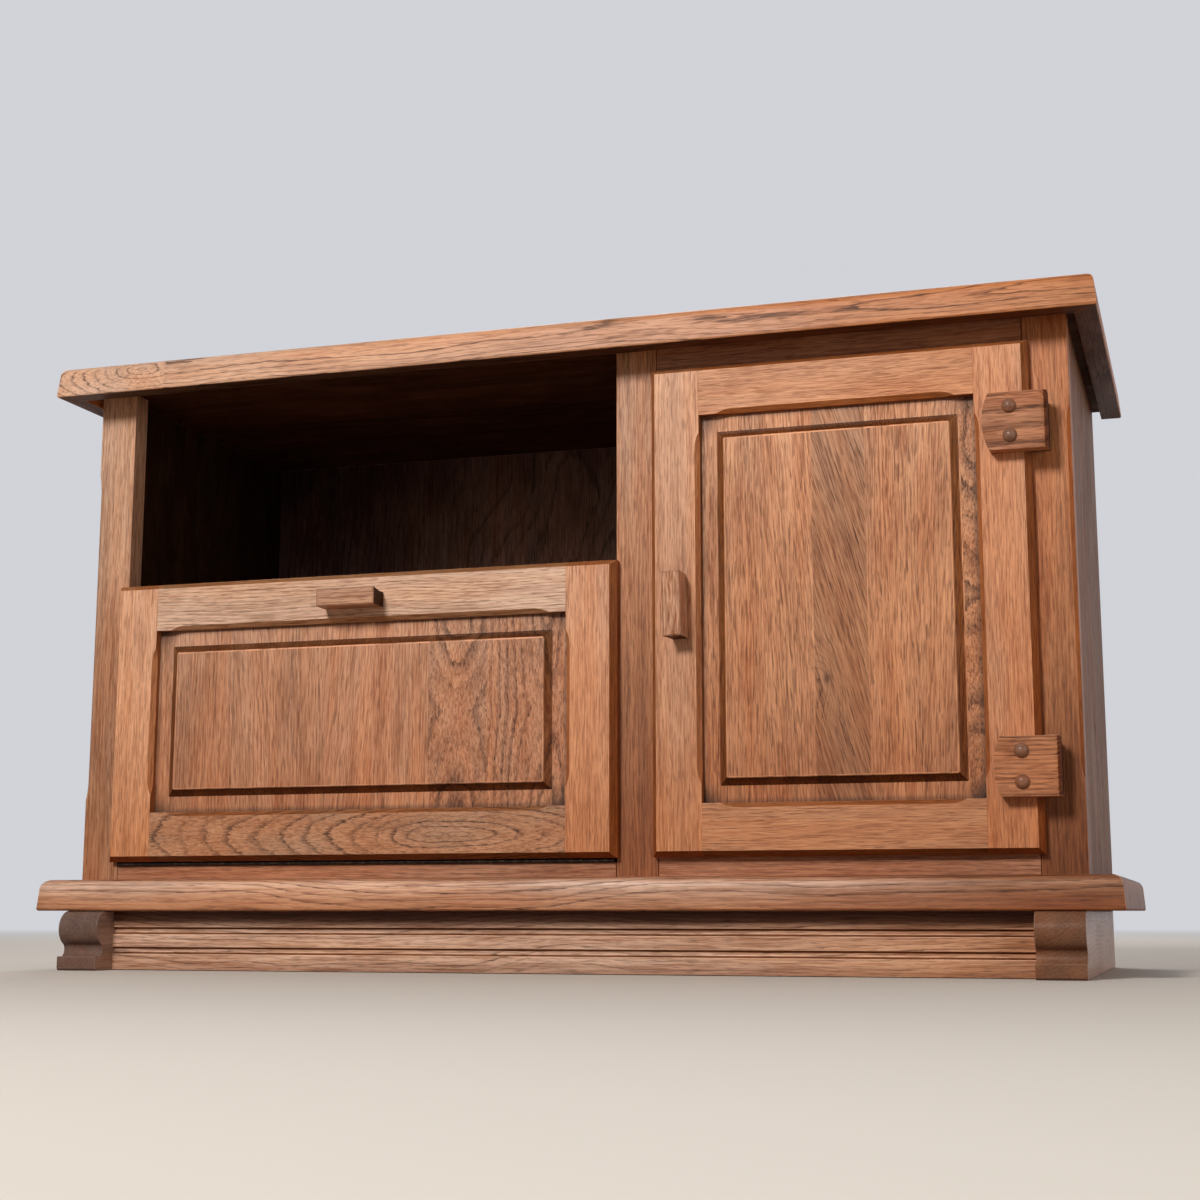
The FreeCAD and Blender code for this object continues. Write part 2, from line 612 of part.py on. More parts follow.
def hinge_stud(z):
    """Domed stud with a square shank through the block and the leaf into the door's stile."""
    x = HINGE_X1 - STUD_FROM_END
    y0 = Y_FACE - HINGE_BLOCK_T
    radius = (STUD_HEAD_R ** 2 + STUD_HEAD_H ** 2) / (2 * STUD_HEAD_H)
    half_turn = math.asin(STUD_HEAD_R / radius) / 2
    crown = (radius * math.sin(half_turn), radius * (1 - math.cos(half_turn)) - STUD_HEAD_H)
    section = outline(
        lambda r, y: V(x + r, y0 + y, z),
        (0, -STUD_HEAD_H),
        (crown, (STUD_HEAD_R, 0)),
        (0, 0),
    )
    head = section.revolve(V(x, y0, z), V(0, 1, 0), 360)
    half = STUD_SHANK / 2
    return fuse(head, box(x - half, x + half, y0, y0 + HINGE_BLOCK_T + STUD_BITE, z - half, z + half))


def make_flap():
    """Drop-down flap with its pull, piano hinge and strike plate, and the catch under the niche shelf."""
    rear = box(
        -X_OPEN + REBATE_FIT, X_MID_LEFT - REBATE_FIT, Y_LIP_BACK, Y_FRAME_BACK,
        FLAP_Z0, FLAP_Z1,
    )
    pieces = framed_panel("flap", FLAP_X0, FLAP_X1, FLAP_Z0, FLAP_Z1, rear)
    middle = (FLAP_X0 + FLAP_X1) / 2
    rail_z = FLAP_Z1 - BEVEL_W - (FRAME_W - BEVEL_W) / 2
    pieces["flap_pull"] = placed_pull(middle, rail_z, 0)
    pieces["flap_top_rail"] = cut(pieces["flap_top_rail"], pieces["flap_pull"])
    fixed, moving, pin = piano_hinge()
    pieces["flap_hinge_fixed_leaf"] = fixed
    pieces["flap_hinge_moving_leaf"] = moving
    pieces["flap_hinge_pin"] = pin

    catch_z1 = FLAP_Z1 - NICHE_SHELF_DROP - SHELF_T
    catch_x = middle + CATCH_L
    strike_y = Y_FRAME_BACK + STRIKE_T
    catch_y = strike_y + CATCH_AIR
    strike_z0 = catch_z1 - STRIKE_SET - STRIKE_H
    pieces["flap_strike_plate"] = box(
        catch_x - STRIKE_L / 2, catch_x + STRIKE_L / 2,
        Y_FRAME_BACK, strike_y,
        strike_z0, strike_z0 + STRIKE_H,
    )
    pieces["flap_catch"] = box(
        catch_x - CATCH_L / 2, catch_x + CATCH_L / 2,
        catch_y, catch_y + CATCH_D,
        catch_z1 - CATCH_H, catch_z1,
    )
    return pieces


def make_door():
    """Door with its pull, hinges, blocks and strike plate, and the catch on the middle stile."""
    rear = box(
        X_MID_RIGHT + REBATE_FIT, X_OPEN - REBATE_FIT, Y_LIP_BACK, Y_FRAME_BACK,
        DOOR_Z0 + RAIL_LAP + REBATE_FIT, DOOR_Z1 - RAIL_LAP - REBATE_FIT,
    )
    pieces = framed_panel("door", DOOR_X0, DOOR_X1, DOOR_Z0, DOOR_Z1, rear)
    middle = (DOOR_Z0 + DOOR_Z1) / 2
    stile_x = DOOR_X0 + BEVEL_W + (FRAME_W - BEVEL_W) / 2
    pieces["door_pull"] = placed_pull(stile_x, middle, -90 - DOOR_PULL_LEAN)
    pieces["door_left_stile"] = cut(pieces["door_left_stile"], pieces["door_pull"])

    studs = []
    for name, z in HINGE_HEIGHTS.items():
        pair = [hinge_stud(z - STUD_SPAN / 2), hinge_stud(z + STUD_SPAN / 2)]
        fixed, moving, pin = door_hinge(z)
        pieces[name + "_hinge_fixed_leaf"] = fixed
        pieces[name + "_hinge_door_leaf"] = cut(moving, *pair)
        pieces[name + "_hinge_pin"] = pin
        pieces[name + "_hinge_block"] = cut(hinge_block(z), *pair)
        studs += pair
    pieces["hinge_studs"] = Part.makeCompound(studs)
    pieces["door_right_stile"] = cut(pieces["door_right_stile"], *studs)

    strike_y = Y_FRAME_BACK + STRIKE_T
    catch_y = strike_y + CATCH_AIR
    strike_x0 = X_MID_RIGHT + REBATE_FIT + STRIKE_SET
    catch_z = middle + CATCH_L
    pieces["door_strike_plate"] = box(
        strike_x0, strike_x0 + STRIKE_H,
        Y_FRAME_BACK, strike_y,
        catch_z - STRIKE_L / 2, catch_z + STRIKE_L / 2,
    )
    pieces["door_catch"] = box(
        X_MID_RIGHT, strike_x0 + STRIKE_H,
        catch_y, catch_y + CATCH_D,
        catch_z - CATCH_L / 2, catch_z + CATCH_L / 2,
    )
    return pieces


def main():
    os.makedirs("parts", exist_ok=True)
    for group in (make_plinth(), make_carcass(), make_top(), make_flap(), make_door()):
        for name, shape in group.items():
            shape.exportStep("parts/" + name + ".step")


main()
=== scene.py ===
import json
import math
import bmesh
import bpy
from mathutils import Matrix, Vector


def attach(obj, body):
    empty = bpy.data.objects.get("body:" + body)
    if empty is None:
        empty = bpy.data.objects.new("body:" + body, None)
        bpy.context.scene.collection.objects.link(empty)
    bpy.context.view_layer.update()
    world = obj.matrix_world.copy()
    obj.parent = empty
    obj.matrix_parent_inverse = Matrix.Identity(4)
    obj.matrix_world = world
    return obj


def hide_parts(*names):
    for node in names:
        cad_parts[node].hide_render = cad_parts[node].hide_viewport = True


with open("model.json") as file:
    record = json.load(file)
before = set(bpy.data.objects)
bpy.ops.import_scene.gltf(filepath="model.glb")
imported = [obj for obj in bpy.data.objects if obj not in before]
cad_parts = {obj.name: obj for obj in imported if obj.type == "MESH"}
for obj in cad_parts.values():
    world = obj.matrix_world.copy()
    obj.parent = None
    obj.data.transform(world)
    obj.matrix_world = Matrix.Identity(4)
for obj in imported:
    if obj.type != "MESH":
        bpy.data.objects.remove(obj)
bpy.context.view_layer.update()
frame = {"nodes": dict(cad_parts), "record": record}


# Runner feet
# Two solid oak runners carry the cabinet, with a square pad, a cove and a swelling scroll cut at the front.
# Their front is end grain, which takes up more stain, so they are the darkest wood on the piece.

def link(tree, kind, values, out=0, **settings):
    """One output of a new shader node, whose inputs are numbers or other outputs."""
    made = tree.nodes.new("ShaderNode" + kind)
    for key, value in settings.items():
        setattr(made, key, value)
    for key, value in values.items():
        if isinstance(value, bpy.types.NodeSocket):
            tree.links.new(value, made.inputs[key])
        else:
            made.inputs[key].default_value = value
    return made.outputs[out]


def sums(tree, operation, a, b=0.0):
    return link(tree, "Math", {0: a, 1: b}, operation=operation)


def ramp(tree, value, low, high, to_low=0.0, to_high=1.0):
    """Smooth step of a value between two levels."""
    return link(
        tree, "MapRange", {0: value, 1: low, 2: high, 3: to_low, 4: to_high},
        interpolation_type="SMOOTHSTEP",
    )


def blend(tree, share, a, b, mode="MIX"):
    """Mix of two colours."""
    return link(tree, "Mix", {0: share, 6: a, 7: b}, out=2, data_type="RGBA", blend_type=mode)


def grain_noise(tree, place, across, along, detail=2.0, rough=0.5, out=0):
    """Noise stretched along the grain; across and along are its counts per metre."""
    scaled = link(tree, "VectorMath", {0: place, 1: (across, across, along)}, operation="MULTIPLY")
    return link(
        tree, "TexNoise", {"Vector": scaled, "Scale": 1.0, "Detail": detail, "Roughness": rough}, out=out,
    )


RING_EDGE = 0.94        # share of a year's growth at which the next spring's dark line starts
FAINTEST_RING = 0.35    # strength of the weakest year beside the strongest
STREAK_MEAN = 0.46      # means of the fibre and patch patterns, taken off so that the tone stays
PATCH_MEAN = 0.725
STAIN_MEAN = 0.28       # how far the mean tone lies from the light colour to the warm one
WARM_GLOW = (1.0, 0.55, 0.3, 1.0)


def make_oak_figure():
    """Figure of a sawn oak board: growth rings about a pith line, pores, fibre streaks and uneven stain.

    The Vector input runs across, through and along the board, in metres."""
    tree = bpy.data.node_groups.new("oak_figure", "ShaderNodeTree")
    for name, kind, value in (
        ("Vector", "Vector", (0, 0, 0)), ("Pith", "Vector", (0, 0, 0)), ("Swirl", "Float", 0.0),
        ("Ring", "Float", 0.004), ("Early", "Float", 0.3), ("Warp", "Float", 0.01), ("Figure", "Float", 0.6),
        ("Streak", "Float", 0.5), ("Pores", "Float", 0.5), ("Mottle", "Float", 0.4),
        ("Light", "Color", (1, 1, 1, 1)), ("Warm", "Color", (0.5, 0.5, 0.5, 1)),
        ("Dark", "Color", (0, 0, 0, 1)),
    ):
        tree.interface.new_socket(name, in_out="INPUT", socket_type="NodeSocket" + kind).default_value = value
    for name, kind in (("Color", "Color"), ("Height", "Float"), ("Dull", "Float")):
        tree.interface.new_socket(name, in_out="OUTPUT", socket_type="NodeSocket" + kind)
    given = tree.nodes.new("NodeGroupInput").outputs
    place = given["Vector"]

    wander = grain_noise(tree, place, 6.0, 3.2, detail=2.0, rough=0.45, out=1)
    wander = link(tree, "VectorMath", {0: wander, 1: (0.5, 0.5, 0.5)}, operation="SUBTRACT")
    wander = link(tree, "VectorMath", {0: wander, "Scale": given["Warp"]}, operation="SCALE")
    from_pith = link(tree, "VectorMath", {0: place, 1: given["Pith"]}, operation="SUBTRACT")
    from_pith = link(tree, "VectorMath", {0: from_pith, 1: wander}, operation="ADD")
    from_pith = link(tree, "VectorMath", {0: from_pith, 1: (1, 1, 0)}, operation="MULTIPLY")
    radius = link(tree, "VectorMath", {0: from_pith}, out=1, operation="LENGTH")
    waver = sums(tree, "MULTIPLY", grain_noise(tree, place, 60.0, 9.0, detail=3.0, rough=0.55), 0.9)
    ragged = sums(tree, "MULTIPLY", grain_noise(tree, place, 700.0, 60.0, detail=1.0), 0.4)
    phase = sums(tree, "ADD", sums(tree, "DIVIDE", radius, given["Ring"]), sums(tree, "ADD", waver, ragged))
    phase = sums(tree, "ADD", phase, given["Swirl"])
    ring = sums(tree, "FRACT", phase)
    fall = ramp(tree, ring, 0.0, given["Early"], 1.0, 0.0)
    early = sums(tree, "MAXIMUM", fall, ramp(tree, ring, RING_EDGE, 1.0))
    season = link(tree, "TexWhiteNoise", {"W": sums(tree, "FLOOR", phase)}, noise_dimensions="1D")
    early = sums(tree, "MULTIPLY", early, ramp(tree, season, 0.0, 1.0, FAINTEST_RING, 1.0))
    dashes = ramp(tree, grain_noise(tree, place, 560.0, 36.0, detail=1.0), 0.38, 0.6, 0.6, 1.0)
    early = sums(tree, "MULTIPLY", early, dashes)

    vessels = ramp(tree, grain_noise(tree, place, 760.0, 64.0, detail=1.0), 0.54, 0.66)
    fibre = ramp(tree, grain_noise(tree, place, 640.0, 20.0, detail=2.0, rough=0.6), 0.42, 0.64)
    drift = ramp(tree, grain_noise(tree, place, 80.0, 8.0, detail=3.0, rough=0.55), 0.3, 0.7)
    speckle = ramp(tree, grain_noise(tree, place, 820.0, 76.0, detail=2.0, rough=0.6), 0.3, 0.7)
    cloud = ramp(tree, grain_noise(tree, place, 18.0, 10.0, detail=4.0, rough=0.55), 0.3, 0.7)

    depth = sums(tree, "MULTIPLY", early, given["Figure"])
    pore = sums(tree, "MULTIPLY", vessels, given["Pores"])
    streak = sums(tree, "ADD", sums(tree, "MULTIPLY", fibre, 0.7), sums(tree, "MULTIPLY", drift, 0.6))
    streak = sums(tree, "MULTIPLY", sums(tree, "SUBTRACT", streak, STREAK_MEAN), given["Streak"])
    patch = sums(tree, "ADD", sums(tree, "MULTIPLY", speckle, 0.9), sums(tree, "MULTIPLY", cloud, 0.55))
    patch = sums(tree, "MULTIPLY", sums(tree, "SUBTRACT", patch, PATCH_MEAN), given["Mottle"])
    stain = link(tree, "Clamp", {0: sums(tree, "ADD", sums(tree, "ADD", streak, patch), STAIN_MEAN)})
    colour = blend(tree, stain, given["Light"], given["Warm"])
    colour = blend(tree, link(tree, "Clamp", {0: sums(tree, "ADD", depth, pore)}), colour, given["Dark"])
    glow = ramp(tree, grain_noise(tree, place, 35.0, 3.0, detail=2.0), 0.35, 0.7, 0.0, 0.3)
    colour = blend(tree, glow, colour, WARM_GLOW, mode="SOFT_LIGHT")

    hollows = sums(tree, "ADD", sums(tree, "MULTIPLY", pore, 0.9), sums(tree, "MULTIPLY", depth, 0.7))
    result = tree.nodes.new("NodeGroupOutput")
    tree.links.new(colour, result.inputs["Color"])
    tree.links.new(sums(tree, "SUBTRACT", 1.0, hollows), result.inputs["Height"])
    tree.links.new(sums(tree, "ADD", hollows, sums(tree, "MULTIPLY", cloud, 0.35)), result.inputs["Dull"])
    return tree


oak_figure = make_oak_figure()
X, Y, Z = range(3)
GRAIN_AXES = {"x": (Z, Y, X), "x_flat": (Y, Z, X), "y": (X, Z, Y), "z": (X, Y, Z), "z_side": (Y, X, Z)}
BOARD_STEP = 3.17       # metres between the boards' places in the figure, so that no two are alike
STAVE_STEP = 27.0       # the same for the staves of a panel
BOLD_FROM = 0.6         # strength of figure from which a stave's rings widen
BOLD_RING, BOLD_EARLY = 3.2, 0.85    # how wide the rings and the early wood of the boldest stave are
STORED_SPAN = 3.0       # a table holds 0 to 1, which stands for a pith from -1 to 2 widths of the panel
LIGHT_GAINS = (1.32, 1.48, 1.64)     # colours of late wood, stain and early wood beside the mean tone
WARM_GAINS = (0.45, 0.28, 0.14)
DARK_GAINS = (0.22, 0.22, 0.24)
KNOT_SLIM = 0.5         # a knot's width beside its height
KNOT_SWIRL = 4.5        # rings that a knot pushes aside
HEART_SHARE = 0.12      # how dark the heart of a knot is
SOAKED = (0.03, 0.02, 0.016, 1.0)
EDGE_SOAK, CORNER_SOAK = 0.55, 0.9   # how much stain has gathered along a panel's edges and in its corners
CORNER_REACH = 0.034
WORN_AND_LIT_LIFT = 0.03
SMOOTHER, DULLER = 0.05, 0.16
STAIN_AND_SHADE_GLOSS = 0.2     # share of the gloss on the faces that hold stain and painted shade
GRAIN_DEPTH = 0.0005
COAT_ROUGHNESS = 0.3
boards_sawn = 0


def tinted(tone, gains):
    return (*(min(1.0, gain * c) for gain, c in zip(gains, tone)), 1.0)


def by_strip(tree, share, starts, rows):
    """The three numbers of the strip in which a place lies."""
    table = tree.nodes.new("ShaderNodeValToRGB")
    table.color_ramp.interpolation = "CONSTANT"
    stops = table.color_ramp.elements
    for k, (start, row) in enumerate(zip(starts, rows)):
        stop = stops[k] if k < len(stops) else stops.new(start)
        stop.position = start
        stop.color = (*row, 1.0)
    tree.links.new(share, table.inputs[0])
    parts = tree.nodes.new("ShaderNodeSeparateColor")
    tree.links.new(table.outputs[0], parts.inputs[0])
    return parts.outputs


def oak(name, grain, tone, pith, bend=(0.0, 0.0, 0.0), ring=0.0034, early=0.32, warp=0.04, figure=0.4,
        streak=0.5, pores=0.35, mottle=0.3, rough=0.47, coat=0.05, relief=0.4, staves=None, knot=None,
        hollow=None, stain_and_shade=(0.48, 0.33, 0.2, 1.0), rub_and_highlight=1.5, gloss=0.22, painted_shading=(), painted_shading_on_marked=False):
    """Stained and lacquered oak with its grain along one axis of the cabinet.

    tone: mean colour. pith: where the middle of the tree lies, across and through the board.
    bend: a place along the board, and how steeply the pith dips before and after it, which draws eyes.
    ring, early, warp: width of a year's growth, share of its open early wood, how far the rings wander.
    figure, streak, pores, mottle: strength of the rings, fibres, pores and uneven stain.
    relief, gloss: depth of the open grain, and the specular level.
    staves: an edge and the strips glued on from it, each with its width, tint, how far its pith lies
        aside, strength of its figure, share of the bend and slant of its grain.
    knot: its place on the front, x and z, and its reach.
    hollow: the frame's rectangle, along which stain has gathered on a panel, and how far that spreads.
    stain_and_shade, rub_and_highlight: colour of the stain on the marked faces, and of the painted shade on
    undersides, inner faces and faces turned from the light; and how light the eased edges are, partly wear and
    partly a painted highlight.
    painted_shading: where the board is painted paler, as light and sheen, and deeper, as shade: axis, place of
    the full change, place of its end, factor.
    painted_shading_on_marked: the painted light and shade act only on the faces marked for stain and shade."""
    global boards_sawn
    boards_sawn += 1
    material = bpy.data.materials.new(name)
    material.use_nodes = True
    tree = material.node_tree
    shader = tree.nodes["Principled BSDF"]
    split = tree.nodes.new("ShaderNodeSeparateXYZ")
    tree.links.new(link(tree, "TexCoord", {}, out=3), split.inputs[0])
    u, v, w = (split.outputs[k] for k in GRAIN_AXES[grain])
    along = sums(tree, "ADD", w, BOARD_STEP * boards_sawn)
    past_bend = sums(tree, "SUBTRACT", w, bend[0])
    before = sums(tree, "MULTIPLY", sums(tree, "MINIMUM", past_bend, 0.0), -bend[1])
    after = sums(tree, "MULTIPLY", sums(tree, "MAXIMUM", past_bend, 0.0), bend[2])
    dip = sums(tree, "ADD", before, after)
    board = tree.nodes.new("ShaderNodeGroup")
    board.node_tree = oak_figure
    for key, value in (
        ("Pith", (*pith, 0.0)), ("Ring", ring), ("Early", early), ("Warp", warp),
        ("Figure", figure), ("Streak", streak), ("Pores", pores), ("Mottle", mottle),
        ("Light", tinted(tone, LIGHT_GAINS)), ("Warm", tinted(tone, WARM_GAINS)),
        ("Dark", tinted(tone, DARK_GAINS)),
    ):
        board.inputs[key].default_value = value
    shade = None
    if staves:
        edge, strips = staves
        total = sum(strip[0] for strip in strips)
        starts, looks, lies = [], [], []
        reach = 0.0
        for width, tint, aside, strength, lean, slant in strips:
            starts.append(reach / total)
            looks.append((tint, strength, lean))
            middle = (reach + width / 2 + aside) / total
            lies.append((middle / STORED_SPAN + 1 / STORED_SPAN, slant + 0.5, 0.0))
            reach += width
        share = link(tree, "MapRange", {0: u, 1: edge, 2: edge + total})
        tint, strength, lean = by_strip(tree, share, starts, looks)
        middle, slant, _ = by_strip(tree, share, starts, lies)
        shade = link(tree, "CombineColor", {k: tint for k in range(3)})
        along = sums(tree, "ADD", along, sums(tree, "MULTIPLY", middle, STAVE_STEP))
        middle = sums(tree, "SUBTRACT", sums(tree, "MULTIPLY", middle, STORED_SPAN), 1.0)
        middle = sums(tree, "MULTIPLY", middle, total)
        u = sums(tree, "SUBTRACT", u, sums(tree, "ADD", middle, edge))
        u = sums(tree, "ADD", u, sums(tree, "MULTIPLY", sums(tree, "SUBTRACT", slant, 0.5), past_bend))
        dip = sums(tree, "MULTIPLY", dip, lean)
        tree.links.new(sums(tree, "MULTIPLY", strength, figure), board.inputs["Figure"])
        tree.links.new(ramp(tree, strength, BOLD_FROM, 1.0, ring, BOLD_RING * ring), board.inputs["Ring"])
        tree.links.new(ramp(tree, strength, BOLD_FROM, 1.0, early, BOLD_EARLY), board.inputs["Early"])
    v = sums(tree, "ADD", v, dip)
    place = link(tree, "CombineXYZ", {0: u, 1: v, 2: along})
    tree.links.new(place, board.inputs["Vector"])
    colour = board.outputs["Color"]
    if shade:
        colour = blend(tree, 1.0, colour, shade, mode="MULTIPLY")
    if knot:
        knot_x, knot_z, reach = knot
        aside = sums(tree, "SUBTRACT", split.outputs[X], knot_x)
        above = sums(tree, "MULTIPLY", sums(tree, "SUBTRACT", split.outputs[Z], knot_z), KNOT_SLIM)
        off = link(tree, "CombineXYZ", {0: aside, 1: above})
        off = link(tree, "VectorMath", {0: off}, out=1, operation="LENGTH")
        tree.links.new(ramp(tree, off, 0.0, reach, KNOT_SWIRL, 0.0), board.inputs["Swirl"])
        stronger = sums(tree, "MULTIPLY", ramp(tree, off, 0.3 * reach, 0.8 * reach, 0.9, 0.0), figure)
        stronger = sums(tree, "MAXIMUM", stronger, sums(tree, "MULTIPLY", strength, figure))
        tree.links.new(stronger, board.inputs["Figure"])
        heart = tuple(HEART_SHARE * c for c in tone) + (1.0,)
        colour = blend(tree, ramp(tree, off, 0.0, 0.2 * reach, 0.8, 0.0), colour, heart)
    smudge = ramp(tree, grain_noise(tree, place, 40.0, 14.0, detail=3.0), 0.25, 0.6, 0.75, 1.0)
    stain_and_shade_share = sums(tree, "MULTIPLY", link(tree, "Attribute", {}, out=2, attribute_name="stain_and_shade"), smudge)
    # Painted light and shade: the colour is made paler where light and sheen fall and deeper where shade falls.
    for axis, start, end, gain in painted_shading:
        share = ramp(tree, split.outputs[axis], start, end, 1.0, 0.0)
        if painted_shading_on_marked:
            share = sums(tree, "MULTIPLY", share, stain_and_shade_share)
        changed = link(tree, "VectorMath", {0: colour, 1: gain}, operation="MULTIPLY")
        colour = blend(tree, share, colour, changed)
    # Stain, and on undersides, inner faces and faces turned from the light a painted shade, multiplied in on
    # the marked faces.
    colour = blend(tree, 1.0, colour, link(tree, "Gamma", {0: stain_and_shade, 1: stain_and_shade_share}), mode="MULTIPLY")
    if hollow:
        x0, x1, z0, z1, spread = hollow
        x, _, z = split.outputs
        near_x = sums(tree, "MINIMUM", sums(tree, "SUBTRACT", x, x0), sums(tree, "SUBTRACT", x1, x))
        near_z = sums(tree, "MINIMUM", sums(tree, "SUBTRACT", z, z0), sums(tree, "SUBTRACT", z1, z))
        edge = ramp(tree, sums(tree, "MINIMUM", near_x, near_z), 0.0, spread, EDGE_SOAK, 0.0)
        corner = ramp(tree, sums(tree, "ADD", near_x, near_z), 0.0, CORNER_REACH, CORNER_SOAK, 0.0)
        gathered = sums(tree, "MULTIPLY", sums(tree, "MAXIMUM", edge, corner), smudge)
        colour = blend(tree, gathered, colour, SOAKED)
    # Eased edges take the rubbed colour: partly wear, partly a painted highlight, strongest on the edges that
    # face up.
    rubbed_and_lit = link(tree, "Attribute", {}, out=2, attribute_name="arris")
    wear_and_highlight = ramp(tree, grain_noise(tree, place, 60.0, 22.0, detail=3.0), 0.35, 0.62, 0.3, 0.85)
    worn_and_lit = tuple(min(1.0, rub_and_highlight * c + WORN_AND_LIT_LIFT) for c in tone) + (1.0,)
    colour = blend(tree, sums(tree, "MULTIPLY", rubbed_and_lit, wear_and_highlight), colour, worn_and_lit)
    tree.links.new(colour, shader.inputs["Base Color"])
    dull = ramp(tree, board.outputs["Dull"], 0.0, 1.0, rough - SMOOTHER, rough + DULLER)
    tree.links.new(dull, shader.inputs["Roughness"])
    bump = link(tree, "Bump", {"Strength": relief, "Distance": GRAIN_DEPTH, "Height": board.outputs["Height"]})
    tree.links.new(bump, shader.inputs["Normal"])
    shine = ramp(tree, stain_and_shade_share, 0.0, 1.0, gloss, STAIN_AND_SHADE_GLOSS * gloss)
    tree.links.new(shine, shader.inputs["Specular IOR Level"])
    shader.inputs["Coat Weight"].default_value = coat
    shader.inputs["Coat Roughness"].default_value = COAT_ROUGHNESS
    return material


NODE_BODY = {node: body for body, nodes in frame["record"]["behaviour"]["bodies"].items() for node in nodes}
NODE_SLOT = {part["node"]: part["material_slot"] for part in frame["record"]["subparts"]}
ARRIS = math.radians(26)    # edges sharper than this are eased
FLAT = math.radians(0.5)    # triangles that meet at less are one face
SHARP = math.radians(30)
WELD = 1e-6
JOINT_STAIN = 2.0
JOINT_LEAN, MITRE_LEAN, UP_LEAN = 0.3, 0.12, 0.1    # lean of an eased edge at a joint, at a mitre, facing up
SHADED_EDGE_RUB_AND_HIGHLIGHT = 0.5            # wear and painted highlight on the edges that don't face up, beside those that do
FLAT_WEIGHT = 80


def dress(node, material, ease=0.0008, stain_and_shade_by_face=None, shoulders=False, mitred=False):
    """The node's piece with its outer edges eased, shown in place of the plain solid.

    stain_and_shade_by_face tells from a face's normal how much dark stain it takes, and on undersides, inner
    faces and faces turned from the light how much painted shade. shoulders are the ends of a rail, whose joints
    with the stiles are dark lines. The bevels of a mitred panel keep their stain where they meet. The eased
    edges are marked for the rubbed colour, partly wear and partly a painted highlight, and most where they face
    up."""
    mesh = bpy.data.meshes.new(node + "_eased")
    shape = bmesh.new()
    shape.from_mesh(frame["nodes"][node].data)
    bmesh.ops.remove_doubles(shape, verts=shape.verts, dist=WELD)
    bmesh.ops.dissolve_limit(shape, angle_limit=FLAT, verts=shape.verts, edges=shape.edges)
    arris = shape.faces.layers.float.new("arris")
    stain_and_shade = shape.faces.layers.float.new("stain_and_shade")
    sharp = [e for e in shape.edges if e.is_manifold and e.calc_face_angle_signed() > ARRIS]
    eased = bmesh.ops.bevel(
        shape, geom=sharp, offset=ease, offset_type="OFFSET", segments=2, profile=0.5,
        affect="EDGES", clamp_overlap=True, material=-1,
    )
    for face in shape.faces:
        face.smooth = True
        face[stain_and_shade] = stain_and_shade_by_face(face.normal) if stain_and_shade_by_face else 0.0
    for face in eased["faces"]:
        joint = shoulders and abs(face.normal.x) > JOINT_LEAN
        mitre = mitred and min(abs(face.normal.x), abs(face.normal.z)) > MITRE_LEAN
        face[arris] = 0.0 if joint or mitre else 1.0 if face.normal.z > UP_LEAN else SHADED_EDGE_RUB_AND_HIGHLIGHT
        face[stain_and_shade] = JOINT_STAIN if joint else face[stain_and_shade]
    shape.to_mesh(mesh)
    shape.free()
    mesh.set_sharp_from_angle(angle=SHARP)
    piece = bpy.data.objects.new(node + "_eased", mesh)
    bpy.context.scene.collection.objects.link(piece)
    flat = piece.modifiers.new("flat_faces", "WEIGHTED_NORMAL")
    flat.keep_sharp = True
    flat.weight = FLAT_WEIGHT
    mesh.materials.append(material)
    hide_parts(node)
    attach(piece, NODE_BODY[node])
    return piece


def on_end_grain(normal):
    return 1.0 if abs(normal.x) < 0.5 else 0.0


# The left foot's tone is greyer than the right's, a painted sheen.
for side, across, tone in (("left", -0.52, (0.352, 0.217, 0.157)), ("right", 0.4, (0.436, 0.205, 0.107))):
    dress(side + "_runner_foot", oak(
        side + "_foot_oak", "y", tone, (across, 0.12), ring=0.0032, figure=0.35, streak=0.3,
        pores=0.2, mottle=0.15, rough=0.36, coat=0.15, stain_and_shade=(0.42, 0.4, 0.42, 1.0), rub_and_highlight=0.6,
    ), stain_and_shade_by_face=on_end_grain)


# Plinth apron and back rail
# A straight board with two worked grooves fills the front between the runners, and a plain rail closes the
# back. Both are flat-sawn oak, whose early wood has worn and taken the stain in long dark lines. The apron
# has painted shade along its upper edge, under the base board, is painted deeper toward its right end as
# shade, and is darker toward its foot.

dress("plinth_apron", oak(
    "apron_oak", "x", (0.62, 0.355, 0.23), (-0.03, -0.1), warp=0.05, figure=0.8, streak=0.6, mottle=0.2,
    relief=0.7, stain_and_shade=(0.3, 0.19, 0.11, 1.0), painted_shading=(
        # painted shade under the base board and toward the right end; darker toward the foot
        (Z, 0.055, 0.03, (0.12, 0.05, 0.03)), (Z, 0.0, 0.014, (0.68, 0.62, 0.6)),
        (X, 0.45, 0.1, (0.86, 0.68, 0.52)),
    ),
), stain_and_shade_by_face=lambda normal: float(abs(normal.y) < 0.9))
dress("plinth_back_rail", oak("back_rail_oak", "x", (0.22, 0.1, 0.052), (0.1, 0.3), figure=0.4))


# Base board
# A thick oak board lies on the runners, and loose tenons join it to the sides and the partition above. Its
# front and ends are moulded with a slope and a round. A band along the front is painted paler as a sheen, and
# its top edge, its foot and its right end are painted deeper as shade.

dress("base_board", oak(
    "base_board_oak", "x_flat", (0.482, 0.228, 0.125), (-0.24, 0.02), ring=0.0058, early=0.36, warp=0.05,
    figure=0.9, streak=0.5, pores=0.25, mottle=0.15, painted_shading=(
        # a painted sheen along the front; painted shade at the top edge, the foot and the right end
        (Z, 0.078, 0.064, (1.36, 1.7, 2.1)), (Z, 0.084, 0.079, (0.62, 0.44, 0.32)),
        (Z, 0.055, 0.066, (0.9, 0.8, 0.68)), (X, 0.44, 0.14, (0.52, 0.37, 0.26)),
    ),
), ease=0.0005)


